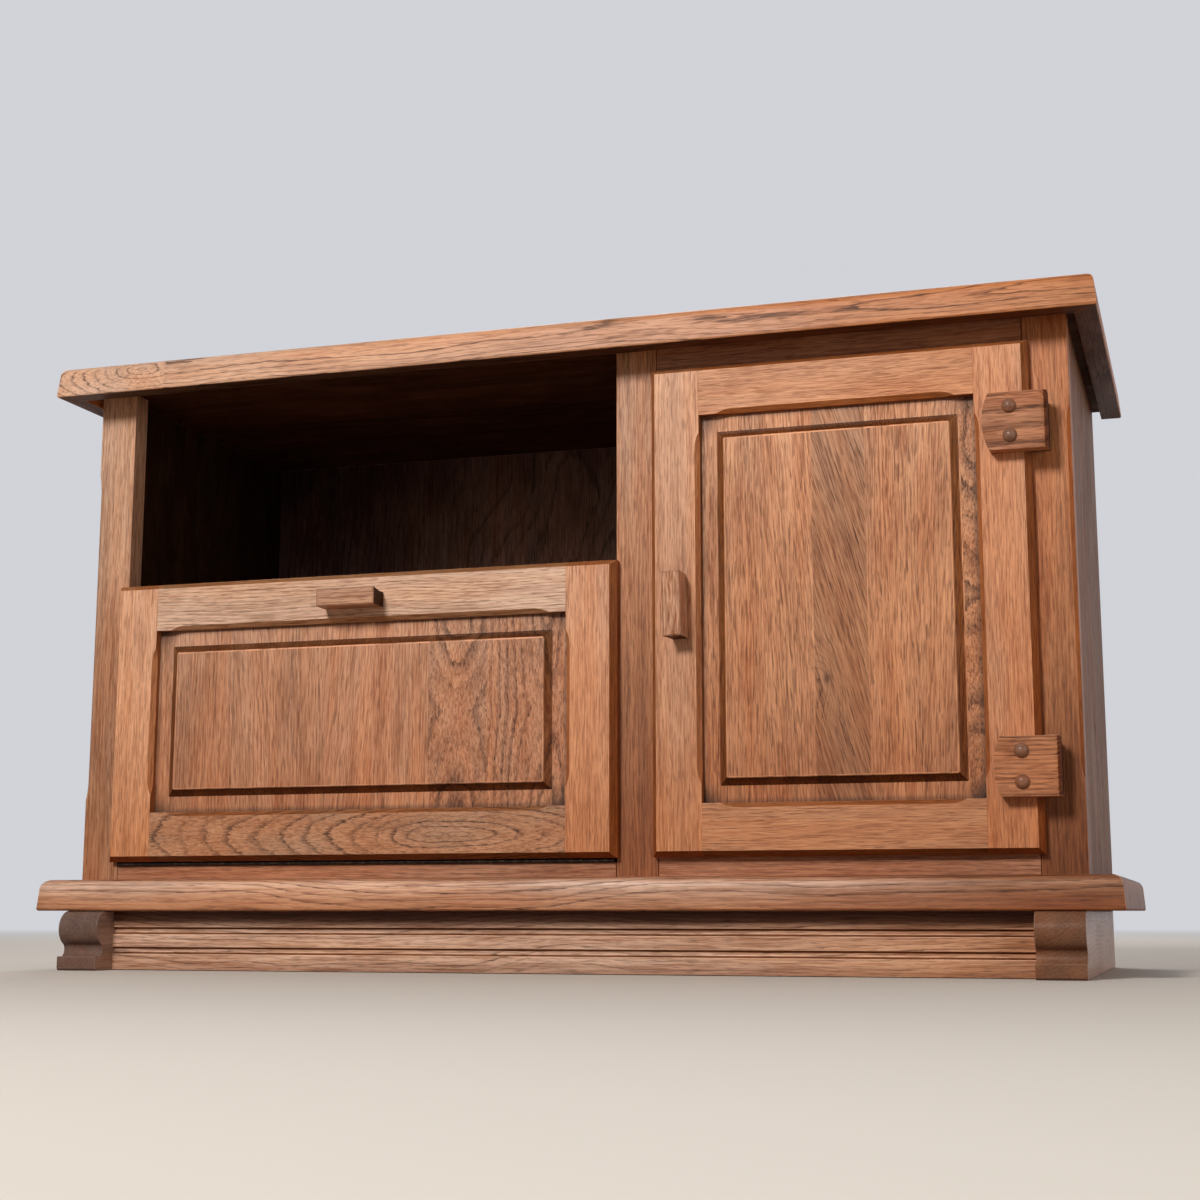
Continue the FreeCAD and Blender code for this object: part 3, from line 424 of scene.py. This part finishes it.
# Face frame of the carcass
# Three upright stiles and short rails between them, tenoned together, with stopped chamfers on the outer
# corners. The stiles are rift-sawn, so their grain runs up in close straight lines. They are painted deeper
# toward the foot as shade and paler toward the head as a sheen, and the left stile's tone is greyer, a painted
# sheen.


def on_stile_chamfer(normal):
    return 0.5 if 0.5 < abs(normal.y) < 0.85 else 0.0


for side, across, tone, at_foot, at_head in (
    ("left", -0.56, (0.397, 0.196, 0.111), (0.96, 0.87, 0.76), (1.3, 1.48, 1.62)),
    ("middle", 0.2, (0.4, 0.169, 0.077), (0.72, 0.54, 0.43), (1.28, 1.48, 1.75)),
    ("right", 0.36, (0.442, 0.165, 0.065), (0.46, 0.37, 0.3), (1.04, 1.06, 1.1)),
):
    dress(side + "_stile", oak(
        side + "_stile_oak", "z", tone, (across, -0.1), ring=0.003, figure=0.45, streak=0.5, mottle=0.3,
        stain_and_shade=(0.85, 0.5, 0.19, 1.0), painted_shading=((Z, 0.1, 0.32, at_foot), (Z, 0.44, 0.27, at_head)),
    ), stain_and_shade_by_face=on_stile_chamfer)
for rail in ("flap_sill", "door_sill", "door_head"):
    dress(rail + "_rail", oak(
        rail + "_oak", "x", (0.389, 0.165, 0.086), (0.2, -0.1), figure=0.45,
    ), shoulders=True)


# Sides, partition, shelves and back
# Veneered panels in a dark oak stain: the sides are set back from the stiles, the back lies in a rebate
# behind them, and the shelves run between the sides and the partition. The door's shelf lies on battens of
# bare beech, of which the loose tenons are made too.

VENEER_TONE = (0.09, 0.042, 0.026)
SIDE_TONE = (0.253, 0.12, 0.065)
# Painted shade: the inner faces of the sides are painted near black, as the shade inside the cabinet.
INSIDE_PAINTED_SHADE = (0.13, 0.12, 0.1, 1.0)


def left_inside(normal):
    return 1.0 if normal.x > 0.9 else 0.0


def right_inside(normal):
    return 1.0 if normal.x < -0.9 else 0.0


for panel, grain, tone, pith, inside in (
    ("left_side_panel", "z_side", SIDE_TONE, (0.02, -0.6), left_inside),
    ("right_side_panel", "z_side", SIDE_TONE, (0.02, 0.4), right_inside),
    ("centre_partition", "z_side", VENEER_TONE, (0.05, -0.05), None),
):
    dress(panel, oak(
        panel + "_veneer", grain, tone, pith, ring=0.008, early=0.4, warp=0.12, figure=0.6, rough=0.55,
        coat=0.0, stain_and_shade=INSIDE_PAINTED_SHADE, gloss=0.1,
    ), ease=0.0005, stain_and_shade_by_face=inside)
# Painted light and shade on the back's front face: deeper at the top, at the left and behind the flap and the
# door, with a pool of painted light low in the niche.
dress("back_panel", oak(
    "back_panel_veneer", "z", (0.37, 0.215, 0.155), (-0.1, 0.31), ring=0.008, early=0.4, warp=0.12, figure=0.6,
    rough=0.55, coat=0.0, stain_and_shade=(1.0, 1.0, 1.0, 1.0), gloss=0.1, painted_shading_on_marked=True, painted_shading=(
        (Z, 0.56, 0.47, (0.45, 0.42, 0.5)), (Z, 0.41, 0.48, (2.1, 2.2, 2.3)),
        (Z, 0.335, 0.35, (0.22, 0.19, 0.17)), (X, -0.36, -0.14, (0.26, 0.24, 0.28)),
        (X, 0.11, 0.08, (0.4, 0.34, 0.3)),
    ),
), ease=0.0005, stain_and_shade_by_face=lambda normal: float(normal.y < -0.9))
for shelf, pith in (("niche_shelf", (0.05, 0.28)), ("door_shelf", (0.02, 0.25))):
    dress(shelf, oak(
        shelf + "_veneer", "x_flat", VENEER_TONE, pith, ring=0.007, warp=0.1, figure=0.7, coat=0.0,
    ), ease=0.0006)
beech = oak(
    "bare_beech", "y", (0.5, 0.33, 0.2), (0.3, 0.1), figure=0.12, streak=0.2, pores=0.2, mottle=0.2, rough=0.6,
    coat=0.0,
)
dress("shelf_battens", beech)
for hidden in ("top_tenons", "base_tenons"):
    frame["nodes"][hidden].data.materials.clear()
    frame["nodes"][hidden].data.materials.append(beech)


# Top
# A wide glued-up panel with deeper solid lippings round three sides, mitred at the front corners and worked
# with a slope and a round. The lippings hang below the panel and throw the shadow line over the fronts.


def on_underside(normal):
    return 1.0 if normal.z < -0.8 else 0.0


TOP_TONE = (0.515, 0.197, 0.076)
# Painted shade: the undersides of the top and its lippings are painted near black, as the shade under the top.
UNDER_PAINTED_SHADE = (0.17, 0.14, 0.13, 1.0)
TOP_BOARDS = (-0.2, (
    (0.11, 0.97, 0.02, 0.9, 0.0, 0.0), (0.085, 1.04, 0.12, 0.6, 0.0, 0.0), (0.095, 0.92, 0.0, 1.0, 0.0, 0.0),
    (0.11, 1.0, -0.1, 0.7, 0.0, 0.0),
))
dress("top_panel", oak(
    "top_panel_oak", "x_flat", (0.4, 0.175, 0.09), (0.0, 0.53), warp=0.07, figure=0.6, rough=0.58, coat=0.0,
    gloss=0.12, staves=TOP_BOARDS, stain_and_shade=UNDER_PAINTED_SHADE,
), ease=0.0003, stain_and_shade_by_face=on_underside)
dress("top_front_lipping", oak(
    "top_front_oak", "x", TOP_TONE, (0.576, -0.19), bend=(-0.38, 0.35, 0.0), ring=0.0042, early=0.28, warp=0.03,
    # painted shade underneath, and a painted sheen that pales the front toward its left end
    figure=1.0, streak=0.35, mottle=0.15, stain_and_shade=UNDER_PAINTED_SHADE, painted_shading=((X, -0.5, 0.4, (1.22, 1.85, 3.1)),),
), ease=0.0004, stain_and_shade_by_face=on_underside)
for side, across in (("left", -0.5), ("right", 0.47)):
    dress("top_" + side + "_lipping", oak(
        "top_" + side + "_oak", "y", TOP_TONE, (across, 0.53), figure=0.45, stain_and_shade=UNDER_PAINTED_SHADE,
    ), ease=0.0004, stain_and_shade_by_face=on_underside)


# Flap
# A drop-down front: a mortised frame of two stiles and two rails round a raised and fielded panel of glued
# staves. The frame's outer edge is bevelled all round and its inner edge has stopped chamfers.


def on_frame_edge(normal):
    return 1.0 if abs(normal.y) < 0.62 else 0.7 if abs(normal.y) < 0.85 else 0.0


def on_field_bevel(normal):
    """Most of the stain is on the bevels across the grain; those that face down are painted darker still, as
    shade.
    """
    if abs(normal.y) > 0.95:
        return 0.0
    if abs(normal.z) > abs(normal.x):
        return 1.0 if normal.z > 0.0 else 1.4
    return 0.7


EYE_X = -0.09           # where the lower rail shows an eye
# Painted shading of the flap's stiles: deeper toward the foot as shade, paler toward the top as a sheen.
FLAP_PAINTED_SHADING = (Z, 0.1, 0.24, (0.87, 0.74, 0.61)), (Z, 0.34, 0.24, (1.0, 1.1, 1.24))
# The top rail's tone is paler and greyer than the rest, and the left stile's a little, a painted sheen.
for piece, grain, tone, pith, bend, ring, figure, relief in (
    ("flap_left_stile", "z", (0.676, 0.31, 0.16), (-0.7, -0.1), 0.0, 0.003, 0.3, 0.3),
    ("flap_right_stile", "z", (0.626, 0.267, 0.13), (0.3, -0.1), 0.0, 0.003, 0.3, 0.3),
    ("flap_top_rail", "x", (0.66, 0.395, 0.26), (0.6, -0.12), 0.0, 0.003, 0.7, 0.8),
    ("flap_bottom_rail", "x", (0.427, 0.205, 0.109), (0.123, -0.1747), 0.2, 0.0048, 0.95, 0.5),
):
    dress(piece, oak(
        piece + "_oak", grain, tone, pith, bend=(EYE_X, bend, bend), ring=ring, early=0.36, warp=0.03,
        figure=figure, streak=0.4, mottle=0.3, relief=relief, painted_shading=FLAP_PAINTED_SHADING if grain == "z" else (),
    ), stain_and_shade_by_face=on_frame_edge, shoulders=grain == "x")
FLAP_STAVES = (-0.4, (
    (0.084, 0.95, 0.09, 0.4, 0.0, 0.0), (0.049, 1.0, 0.12, 0.5, 0.0, 0.08),
    (0.052, 0.92, -0.1, 0.5, 0.0, 0.0), (0.049, 1.04, 0.15, 0.4, 0.0, -0.06),
    (0.055, 1.02, 0.2, 0.35, 0.0, 0.0), (0.058, 0.97, 0.0, 0.85, 1.0, 0.0),
    (0.085, 0.98, 0.012, 0.8, 0.9, 0.0),
))
FIELD_STAIN_AND_SHADE = (0.22, 0.14, 0.07, 1.0)
GATHERED = 0.006        # how far the stain spreads from the frame over a panel
dress("flap_panel", oak(
    "flap_panel_oak", "z", (0.486, 0.22, 0.118), (0.0, -0.137), bend=(0.234, 0.24, 0.24), figure=1.0,
    pores=0.4, mottle=0.35, staves=FLAP_STAVES, rub_and_highlight=1.8, stain_and_shade=FIELD_STAIN_AND_SHADE,
    hollow=(-0.3925, 0.0235, 0.1468, 0.3208, GATHERED),
    # painted shading: deeper toward the foot as shade, paler toward the top as a sheen
    painted_shading=((Z, 0.15, 0.23, (0.98, 0.9, 0.82)), (Z, 0.32, 0.24, (1.06, 1.15, 1.22))),
), stain_and_shade_by_face=on_field_bevel, mitred=True)


# Door
# A taller frame of the same make, with stiles and rails in rift-sawn oak, hung at its right edge. Its panel
# is glued from six staves, the third darker with slanting grain and a pin knot.

# Painted shading of the door's stiles: deeper toward the foot as shade, paler toward the top as a sheen.
DOOR_PAINTED_SHADING = (Z, 0.1, 0.28, (0.84, 0.7, 0.57)), (Z, 0.52, 0.36, (1.08, 1.13, 1.16))
# The left stile's tone is greyer than the right's, a painted sheen.
for piece, grain, tone, pith, figure, relief in (
    ("door_left_stile", "z", (0.566, 0.264, 0.14), (-0.2, -0.1), 0.28, 0.3),
    ("door_right_stile", "z", (0.59, 0.249, 0.12), (0.75, -0.1), 0.28, 0.3),
    ("door_top_rail", "x", (0.615, 0.261, 0.118), (0.75, -0.1), 0.3, 0.5),
    ("door_bottom_rail", "x", (0.474, 0.205, 0.097), (0.3, -0.12), 0.4, 0.7),
):
    dress(piece, oak(
        piece + "_oak", grain, tone, pith, ring=0.003, figure=figure, streak=0.4, mottle=0.32, relief=relief,
        painted_shading=DOOR_PAINTED_SHADING if grain == "z" else (),
    ), stain_and_shade_by_face=on_frame_edge, shoulders=grain == "x")
DOOR_STAVES = (0.14, (
    (0.066, 1.0, 0.15, 0.6, 0.0, 0.0), (0.043, 1.03, 0.12, 0.55, 0.0, 0.05),
    (0.0465, 0.74, 0.12, 0.65, 0.0, 0.29), (0.0445, 1.02, 0.1, 0.6, 0.0, 0.0),
    (0.038, 1.03, -0.12, 0.55, 0.0, -0.05), (0.022, 1.0, 0.0, 0.9, 1.0, 0.0),
))
dress("door_panel", oak(
    "door_panel_oak", "z", (0.545, 0.231, 0.106), (0.0, -0.115), bend=(0.32, 0.35, 0.35), figure=0.95,
    pores=0.5, mottle=0.38, staves=DOOR_STAVES, knot=(0.26, 0.252, 0.022), rub_and_highlight=1.8, stain_and_shade=FIELD_STAIN_AND_SHADE,
    hollow=(0.1485, 0.3925, 0.1468, 0.493, GATHERED),
    # painted shading: deeper toward the foot as shade, paler toward the top as a sheen
    painted_shading=((Z, 0.16, 0.29, (0.8, 0.73, 0.71)), (Z, 0.49, 0.36, (1.08, 1.16, 1.25))),
), stain_and_shade_by_face=on_field_bevel, mitred=True)


# Pulls
# Short oak bars with a finger scoop along one side and a stub tenon into the frame. Their ends hold more
# stain and are painted darker still as shade, and their edges are dark from handling.

END_STAIN_AND_SHADE = (0.12, 0.08, 0.06, 1.0)
PULL_EASE = 0.0012

dress("flap_pull", oak(
    "flap_pull_oak", "x", (0.396, 0.21, 0.127), (0.45, -0.15), figure=0.35, mottle=0.6, stain_and_shade=END_STAIN_AND_SHADE,
    rub_and_highlight=0.3,
), ease=PULL_EASE, stain_and_shade_by_face=lambda normal: float(abs(normal.x) > 0.9))
dress("door_pull", oak(
    "door_pull_oak", "z", (0.53, 0.268, 0.153), (0.3, -0.15), figure=0.3, mottle=0.8, stain_and_shade=END_STAIN_AND_SHADE,
    rub_and_highlight=0.3,
), ease=PULL_EASE, stain_and_shade_by_face=lambda normal: float(abs(normal.z) > 0.9))


# Hinge blocks and studs
# Wooden blocks cover the door leaves of the hinges, with open, ridged grain and a bowed inner end.
# Two domed wooden studs go through each block and its leaf into the door's stile.

# The right ends of the blocks, which turn away from the light, are painted dark as shade.
for place, across, ring in (("upper", 0.33, 0.0115), ("lower", -0.05, 0.0036)):
    dress(place + "_hinge_block", oak(
        place + "_block_oak", "x", (0.443, 0.178, 0.081), (across, -0.1), ring=ring, early=0.55, warp=0.03,
        figure=0.85, relief=0.9, stain_and_shade=(0.35, 0.25, 0.2, 1.0),
    ), ease=0.0006, stain_and_shade_by_face=lambda normal: float(normal.x > 0.5))
dress("hinge_studs", oak(
    "stud_oak", "x", (0.24, 0.11, 0.062), (0.2, -0.1), figure=0.2, streak=0.2, rough=0.38, coat=0.3,
), ease=0.0002)


# Hinges
# Bronzed steel: cranked leaves with three knuckles on a pin for the door, and a piano hinge with many
# knuckles along the foot of the flap. The bronzing has rubbed thin in small patches.

bronze = bpy.data.materials.new("bronzed_steel")
bronze.use_nodes = True
tree = bronze.node_tree
shader = tree.nodes["Principled BSDF"]
where = link(tree, "TexCoord", {}, out=3)
worn = ramp(tree, link(tree, "TexNoise", {"Vector": where, "Scale": 240.0, "Detail": 4.0}), 0.45, 0.7)
bronzing = blend(tree, worn, (0.03, 0.023, 0.019, 1.0), (0.1, 0.075, 0.055, 1.0))
tree.links.new(bronzing, shader.inputs["Base Color"])
tree.links.new(ramp(tree, worn, 0.0, 1.0, 0.42, 0.32), shader.inputs["Roughness"])
shader.inputs["Metallic"].default_value = 0.7
for node in [n for n, slot in NODE_SLOT.items() if slot == "bronzed_steel"]:
    dress(node, bronze, ease=0.00015)


# Screws
# Cross-headed countersunk screws hold the piano hinge, the fixed door leaves, the catches and the strike
# plates, and rows of larger ones hold the back panel in its rebate.

zinc = bpy.data.materials.new("zinc_steel")
zinc.use_nodes = True
tree = zinc.node_tree
shader = tree.nodes["Principled BSDF"]
where = link(tree, "TexCoord", {}, out=3)
spangle = link(tree, "TexVoronoi", {"Vector": where, "Scale": 420.0})
plating = blend(tree, spangle, (0.5, 0.5, 0.49, 1.0), (0.68, 0.68, 0.66, 1.0))
# The cross recesses are painted near black.
dark_recess = link(tree, "Attribute", {}, out=2, attribute_name="recess")
tree.links.new(blend(tree, dark_recess, plating, (0.05, 0.045, 0.04, 1.0)), shader.inputs["Base Color"])
tree.links.new(ramp(tree, spangle, 0.0, 1.0, 0.28, 0.42), shader.inputs["Roughness"])
shader.inputs["Metallic"].default_value = 1.0
HEAD_PROFILE = ((0.0, 1.0), (0.6, 0.92), (0.88, 0.6), (1.0, 0.0))    # shares of the radius and the rise
HEAD_STEPS = 20
CROSS_HALF_WIDTH = 0.13
CROSS_REACH = 0.55
CROSS_DEPTH = 0.7
HEAD_WELD = 1e-7
HEAD_SHARP = math.radians(35)


def screw_heads(name, body, material, radius, rise, places):
    """Screw heads standing a little proud at the given places, each with the direction that it faces."""
    mesh = bpy.data.meshes.new(name)
    heads = bmesh.new()
    one = bpy.data.meshes.new(name + "_head")
    for place, facing in places:
        head = bmesh.new()
        rim = [head.verts.new((r * radius, 0.0, h * rise)) for r, h in HEAD_PROFILE]
        profile = rim + [head.edges.new(pair) for pair in zip(rim, rim[1:])]
        bmesh.ops.spin(
            head, geom=profile, cent=(0, 0, 0), axis=(0, 0, 1), angle=2 * math.pi, steps=HEAD_STEPS,
            use_merge=True,
        )
        bmesh.ops.remove_doubles(head, verts=head.verts, dist=HEAD_WELD)
        for axis in (Vector((1, 0, 0)), Vector((0, 1, 0))):
            for share in (-CROSS_REACH, -CROSS_HALF_WIDTH, CROSS_HALF_WIDTH, CROSS_REACH):
                cut = head.verts[:] + head.edges[:] + head.faces[:]
                bmesh.ops.bisect_plane(head, geom=cut, plane_co=axis * share * radius, plane_no=axis)
        recess = head.faces.layers.float.new("recess")
        cross = []
        for face in head.faces:
            middle = face.calc_center_median()
            reach = sorted((abs(middle.x) / radius, abs(middle.y) / radius))
            if reach[0] < CROSS_HALF_WIDTH and reach[1] < CROSS_REACH:
                cross.append(face)
                face[recess] = 1.0
        sunk = bmesh.ops.extrude_face_region(head, geom=cross)["geom"]
        sunk = [v for v in sunk if isinstance(v, bmesh.types.BMVert)]
        bmesh.ops.translate(head, verts=sunk, vec=(0, 0, -CROSS_DEPTH * rise))
        bmesh.ops.recalc_face_normals(head, faces=head.faces)
        turn = Vector((0, 0, 1)).rotation_difference(Vector(facing)).to_matrix().to_4x4()
        bmesh.ops.transform(head, matrix=Matrix.Translation(place) @ turn, verts=head.verts)
        head.to_mesh(one)
        head.free()
        heads.from_mesh(one)
    heads.to_mesh(mesh)
    heads.free()
    bpy.data.meshes.remove(one)
    mesh.set_sharp_from_angle(angle=HEAD_SHARP)
    mesh.materials.append(material)
    piece = bpy.data.objects.new(name, mesh)
    bpy.context.scene.collection.objects.link(piece)
    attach(piece, body)


LEAF_SCREWS = [-0.42 + 0.0535 * k for k in range(10)]
STRIKE_BACK = -0.1537
CATCH_MIDDLE = -0.1433
screw_heads("piano_hinge_sill_screws", "cabinet", bronze, radius=0.002, rise=0.0003, places=[
    ((x, -0.1513, 0.0978), (0, 0, 1)) for x in LEAF_SCREWS
])
screw_heads("piano_hinge_flap_screws", "flap", bronze, radius=0.0018, rise=0.0003, places=[
    ((x, -0.1582, 0.1), (0, 0, -1)) for x in LEAF_SCREWS
])
screw_heads("door_leaf_screws", "cabinet", bronze, radius=0.0021, rise=0.0003, places=[
    ((0.4428, -0.16, z), (0, -1, 0)) for z in (0.1578, 0.1858, 0.4495, 0.4775)
])
screw_heads("flap_strike_screws", "flap", zinc, radius=0.0019, rise=0.0002, places=[
    ((x, STRIKE_BACK, 0.3368), (0, 1, 0)) for x in (-0.1535, -0.1275)
])
screw_heads("door_strike_screws", "door", zinc, radius=0.0019, rise=0.0002, places=[
    ((0.114, STRIKE_BACK, z), (0, 1, 0)) for z in (0.3509, 0.3769)
])
screw_heads("catch_screws", "cabinet", zinc, radius=0.0022, rise=0.0007, places=[
    ((-0.1585, CATCH_MIDDLE, 0.3313), (0, 0, -1)), ((-0.1225, CATCH_MIDDLE, 0.3313), (0, 0, -1)),
    ((0.1195, CATCH_MIDDLE, 0.3459), (1, 0, 0)), ((0.1195, CATCH_MIDDLE, 0.3819), (1, 0, 0)),
])
BACK_COLUMNS = [-0.43 + 0.1433 * k for k in range(7)]
BACK_FACE = 0.2
screw_heads("back_screws", "cabinet", zinc, radius=0.0032, rise=0.0009, places=[
    ((x, BACK_FACE, z), (0, 1, 0)) for z in (0.093, 0.554) for x in BACK_COLUMNS
] + [
    ((x, BACK_FACE, z), (0, 1, 0)) for z in (0.2, 0.323, 0.446) for x in (-0.458, 0.086, 0.458)
])


# Magnetic catches and strike plates
# Brown moulded housings under the niche shelf and beside the middle stile, each with a zinc-plated strike
# plate screwed to the back of the flap or door.

catch_plastic = bpy.data.materials.new("catch_plastic")
catch_plastic.use_nodes = True
tree = catch_plastic.node_tree
shader = tree.nodes["Principled BSDF"]
where = link(tree, "TexCoord", {}, out=3)
speckle = link(tree, "TexNoise", {"Vector": where, "Scale": 900.0, "Detail": 3.0})
moulded = blend(tree, speckle, (0.1, 0.055, 0.03, 1.0), (0.15, 0.085, 0.05, 1.0))
tree.links.new(moulded, shader.inputs["Base Color"])
tree.links.new(ramp(tree, speckle, 0.3, 0.7, 0.45, 0.58), shader.inputs["Roughness"])
for place in ("flap", "door"):
    dress(place + "_catch", catch_plastic, ease=0.001)
    dress(place + "_strike_plate", zinc, ease=0.0003)
POLE_RISE = 0.0002
POLE_ASIDE = 0.0026
POLE_EASE = 0.00012
for name, middle, size in (
    ("flap_catch_poles", (-0.1405, -0.1533, 0.3378), (0.028, 2 * POLE_RISE, 0.0018)),
    ("door_catch_poles", (0.11225, -0.1533, 0.3639), (0.0018, 2 * POLE_RISE, 0.028)),
):
    poles_mesh = bpy.data.meshes.new(name)
    shape = bmesh.new()
    for step in (-POLE_ASIDE, POLE_ASIDE):
        bar = bmesh.ops.create_cube(shape, size=1.0)["verts"]
        bmesh.ops.scale(shape, vec=size, verts=bar)
        aside = (0.0, 0.0, step) if size[0] > size[2] else (step, 0.0, 0.0)
        bmesh.ops.translate(shape, vec=Vector(middle) + Vector(aside), verts=bar)
    bmesh.ops.bevel(
        shape, geom=shape.edges[:], offset=POLE_EASE, offset_type="OFFSET", segments=2, profile=0.5,
        affect="EDGES", clamp_overlap=True, material=-1,
    )
    shape.to_mesh(poles_mesh)
    shape.free()
    poles_mesh.materials.append(zinc)
    poles = bpy.data.objects.new(name, poles_mesh)
    bpy.context.scene.collection.objects.link(poles)
    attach(poles, "cabinet")


# Floor, light and camera
# A plain pale floor, which far away turns into the colour of the pale background. A soft lamp lights the
# front from the upper left, weaker ones the back and the right side. The camera stands low at the right.

FLOOR_REACH = 9.0
HAZE_FROM, HAZE_TO = 1.6, 5.0       # distance at which the floor starts to turn, and has turned
FLOOR_COLOUR = (0.68, 0.625, 0.56, 1.0)
FLOOR_BOUNCE = (0.32, 0.24, 0.17, 1.0)
BACKDROP_COLOUR = (0.64, 0.65, 0.69, 1.0)
floor_mesh = bpy.data.meshes.new("floor")
shape = bmesh.new()
bmesh.ops.create_grid(shape, x_segments=1, y_segments=1, size=FLOOR_REACH)
shape.to_mesh(floor_mesh)
shape.free()
floor = bpy.data.objects.new("floor", floor_mesh)
bpy.context.scene.collection.objects.link(floor)
floor_paint = bpy.data.materials.new("floor_paint")
floor_paint.use_nodes = True
tree = floor_paint.node_tree
rays = tree.nodes.new("ShaderNodeLightPath")
seen = sums(tree, "MAXIMUM", rays.outputs["Is Camera Ray"], rays.outputs["Is Glossy Ray"])
seen = sums(tree, "MAXIMUM", seen, rays.outputs["Is Transmission Ray"])
tree.links.new(
    blend(tree, seen, FLOOR_BOUNCE, FLOOR_COLOUR),
    tree.nodes["Principled BSDF"].inputs["Base Color"],
)
tree.nodes["Principled BSDF"].inputs["Roughness"].default_value = 0.9
tree.nodes["Principled BSDF"].inputs["Specular IOR Level"].default_value = 0.1
far = link(tree, "VectorMath", {0: link(tree, "TexCoord", {}, out=3)}, out=1, operation="LENGTH")
haze = sums(tree, "MULTIPLY", seen, ramp(tree, far, HAZE_FROM, HAZE_TO))
backdrop = link(tree, "Emission", {"Color": BACKDROP_COLOUR})
ground = link(tree, "MixShader", {0: haze, 1: tree.nodes["Principled BSDF"].outputs[0], 2: backdrop})
tree.links.new(ground, tree.nodes["Material Output"].inputs["Surface"])
floor_mesh.materials.append(floor_paint)

ROOM_FRONT, ROOM_BACK = (0.1, 0.1, 0.105, 1.0), (0.6, 0.6, 0.62, 1.0)
MIRRORED_FRONT = (0.2, 0.2, 0.22, 1.0)
room = bpy.data.worlds.new("room")
bpy.context.scene.world = room
room.use_nodes = True
tree = room.node_tree
rays = tree.nodes.new("ShaderNodeLightPath")
toward = tree.nodes.new("ShaderNodeSeparateXYZ")
tree.links.new(link(tree, "TexCoord", {}), toward.inputs[0])
behind = ramp(tree, toward.outputs[Y], -0.3, 0.8)
glow = blend(tree, behind, ROOM_FRONT, ROOM_BACK)
gloss = blend(tree, behind, MIRRORED_FRONT, BACKDROP_COLOUR)
glow = blend(tree, rays.outputs["Is Glossy Ray"], glow, gloss)
seen = sums(tree, "MAXIMUM", rays.outputs["Is Camera Ray"], rays.outputs["Is Transmission Ray"])
tree.links.new(blend(tree, seen, glow, BACKDROP_COLOUR), tree.nodes["Background"].inputs["Color"])


def soft_lamp(name, place, aim, size, power, colour):
    lamp = bpy.data.lights.new(name, "AREA")
    lamp.shape = "DISK"
    lamp.size = size
    lamp.energy = power
    lamp.color = colour
    holder = bpy.data.objects.new(name, lamp)
    holder.location = place
    holder.rotation_euler = (Vector(aim) - Vector(place)).to_track_quat("-Z", "Y").to_euler()
    bpy.context.scene.collection.objects.link(holder)


soft_lamp("key_lamp", (-0.6, -2.9, 1.9), (0.0, 0.0, 0.3), size=0.8, power=78.0, colour=(1.0, 0.98, 0.95))
soft_lamp("back_lamp", (-0.7, 2.8, 2.4), (0.0, 0.0, 0.3), size=2.0, power=45.0, colour=(1.0, 0.98, 0.96))
soft_lamp("fill_lamp", (2.6, -1.4, 0.8), (0.3, 0.0, 0.3), size=1.6, power=13.0, colour=(1.0, 0.97, 0.94))

lens = bpy.data.cameras.new("camera")
lens.sensor_width = 36.0
lens.lens = 58.26
lens.shift_x = -0.0037
lens.shift_y = -0.0209
camera = bpy.data.objects.new("camera", lens)
camera.location = (0.5777, -1.8128, 0.0536)
CAMERA_TILT, CAMERA_TURN = 0.172, 0.306
camera.rotation_euler = (math.pi / 2 + CAMERA_TILT, 0.0, CAMERA_TURN)
bpy.context.scene.collection.objects.link(camera)
bpy.context.scene.camera = camera
bpy.context.scene.view_settings.view_transform = "Standard"
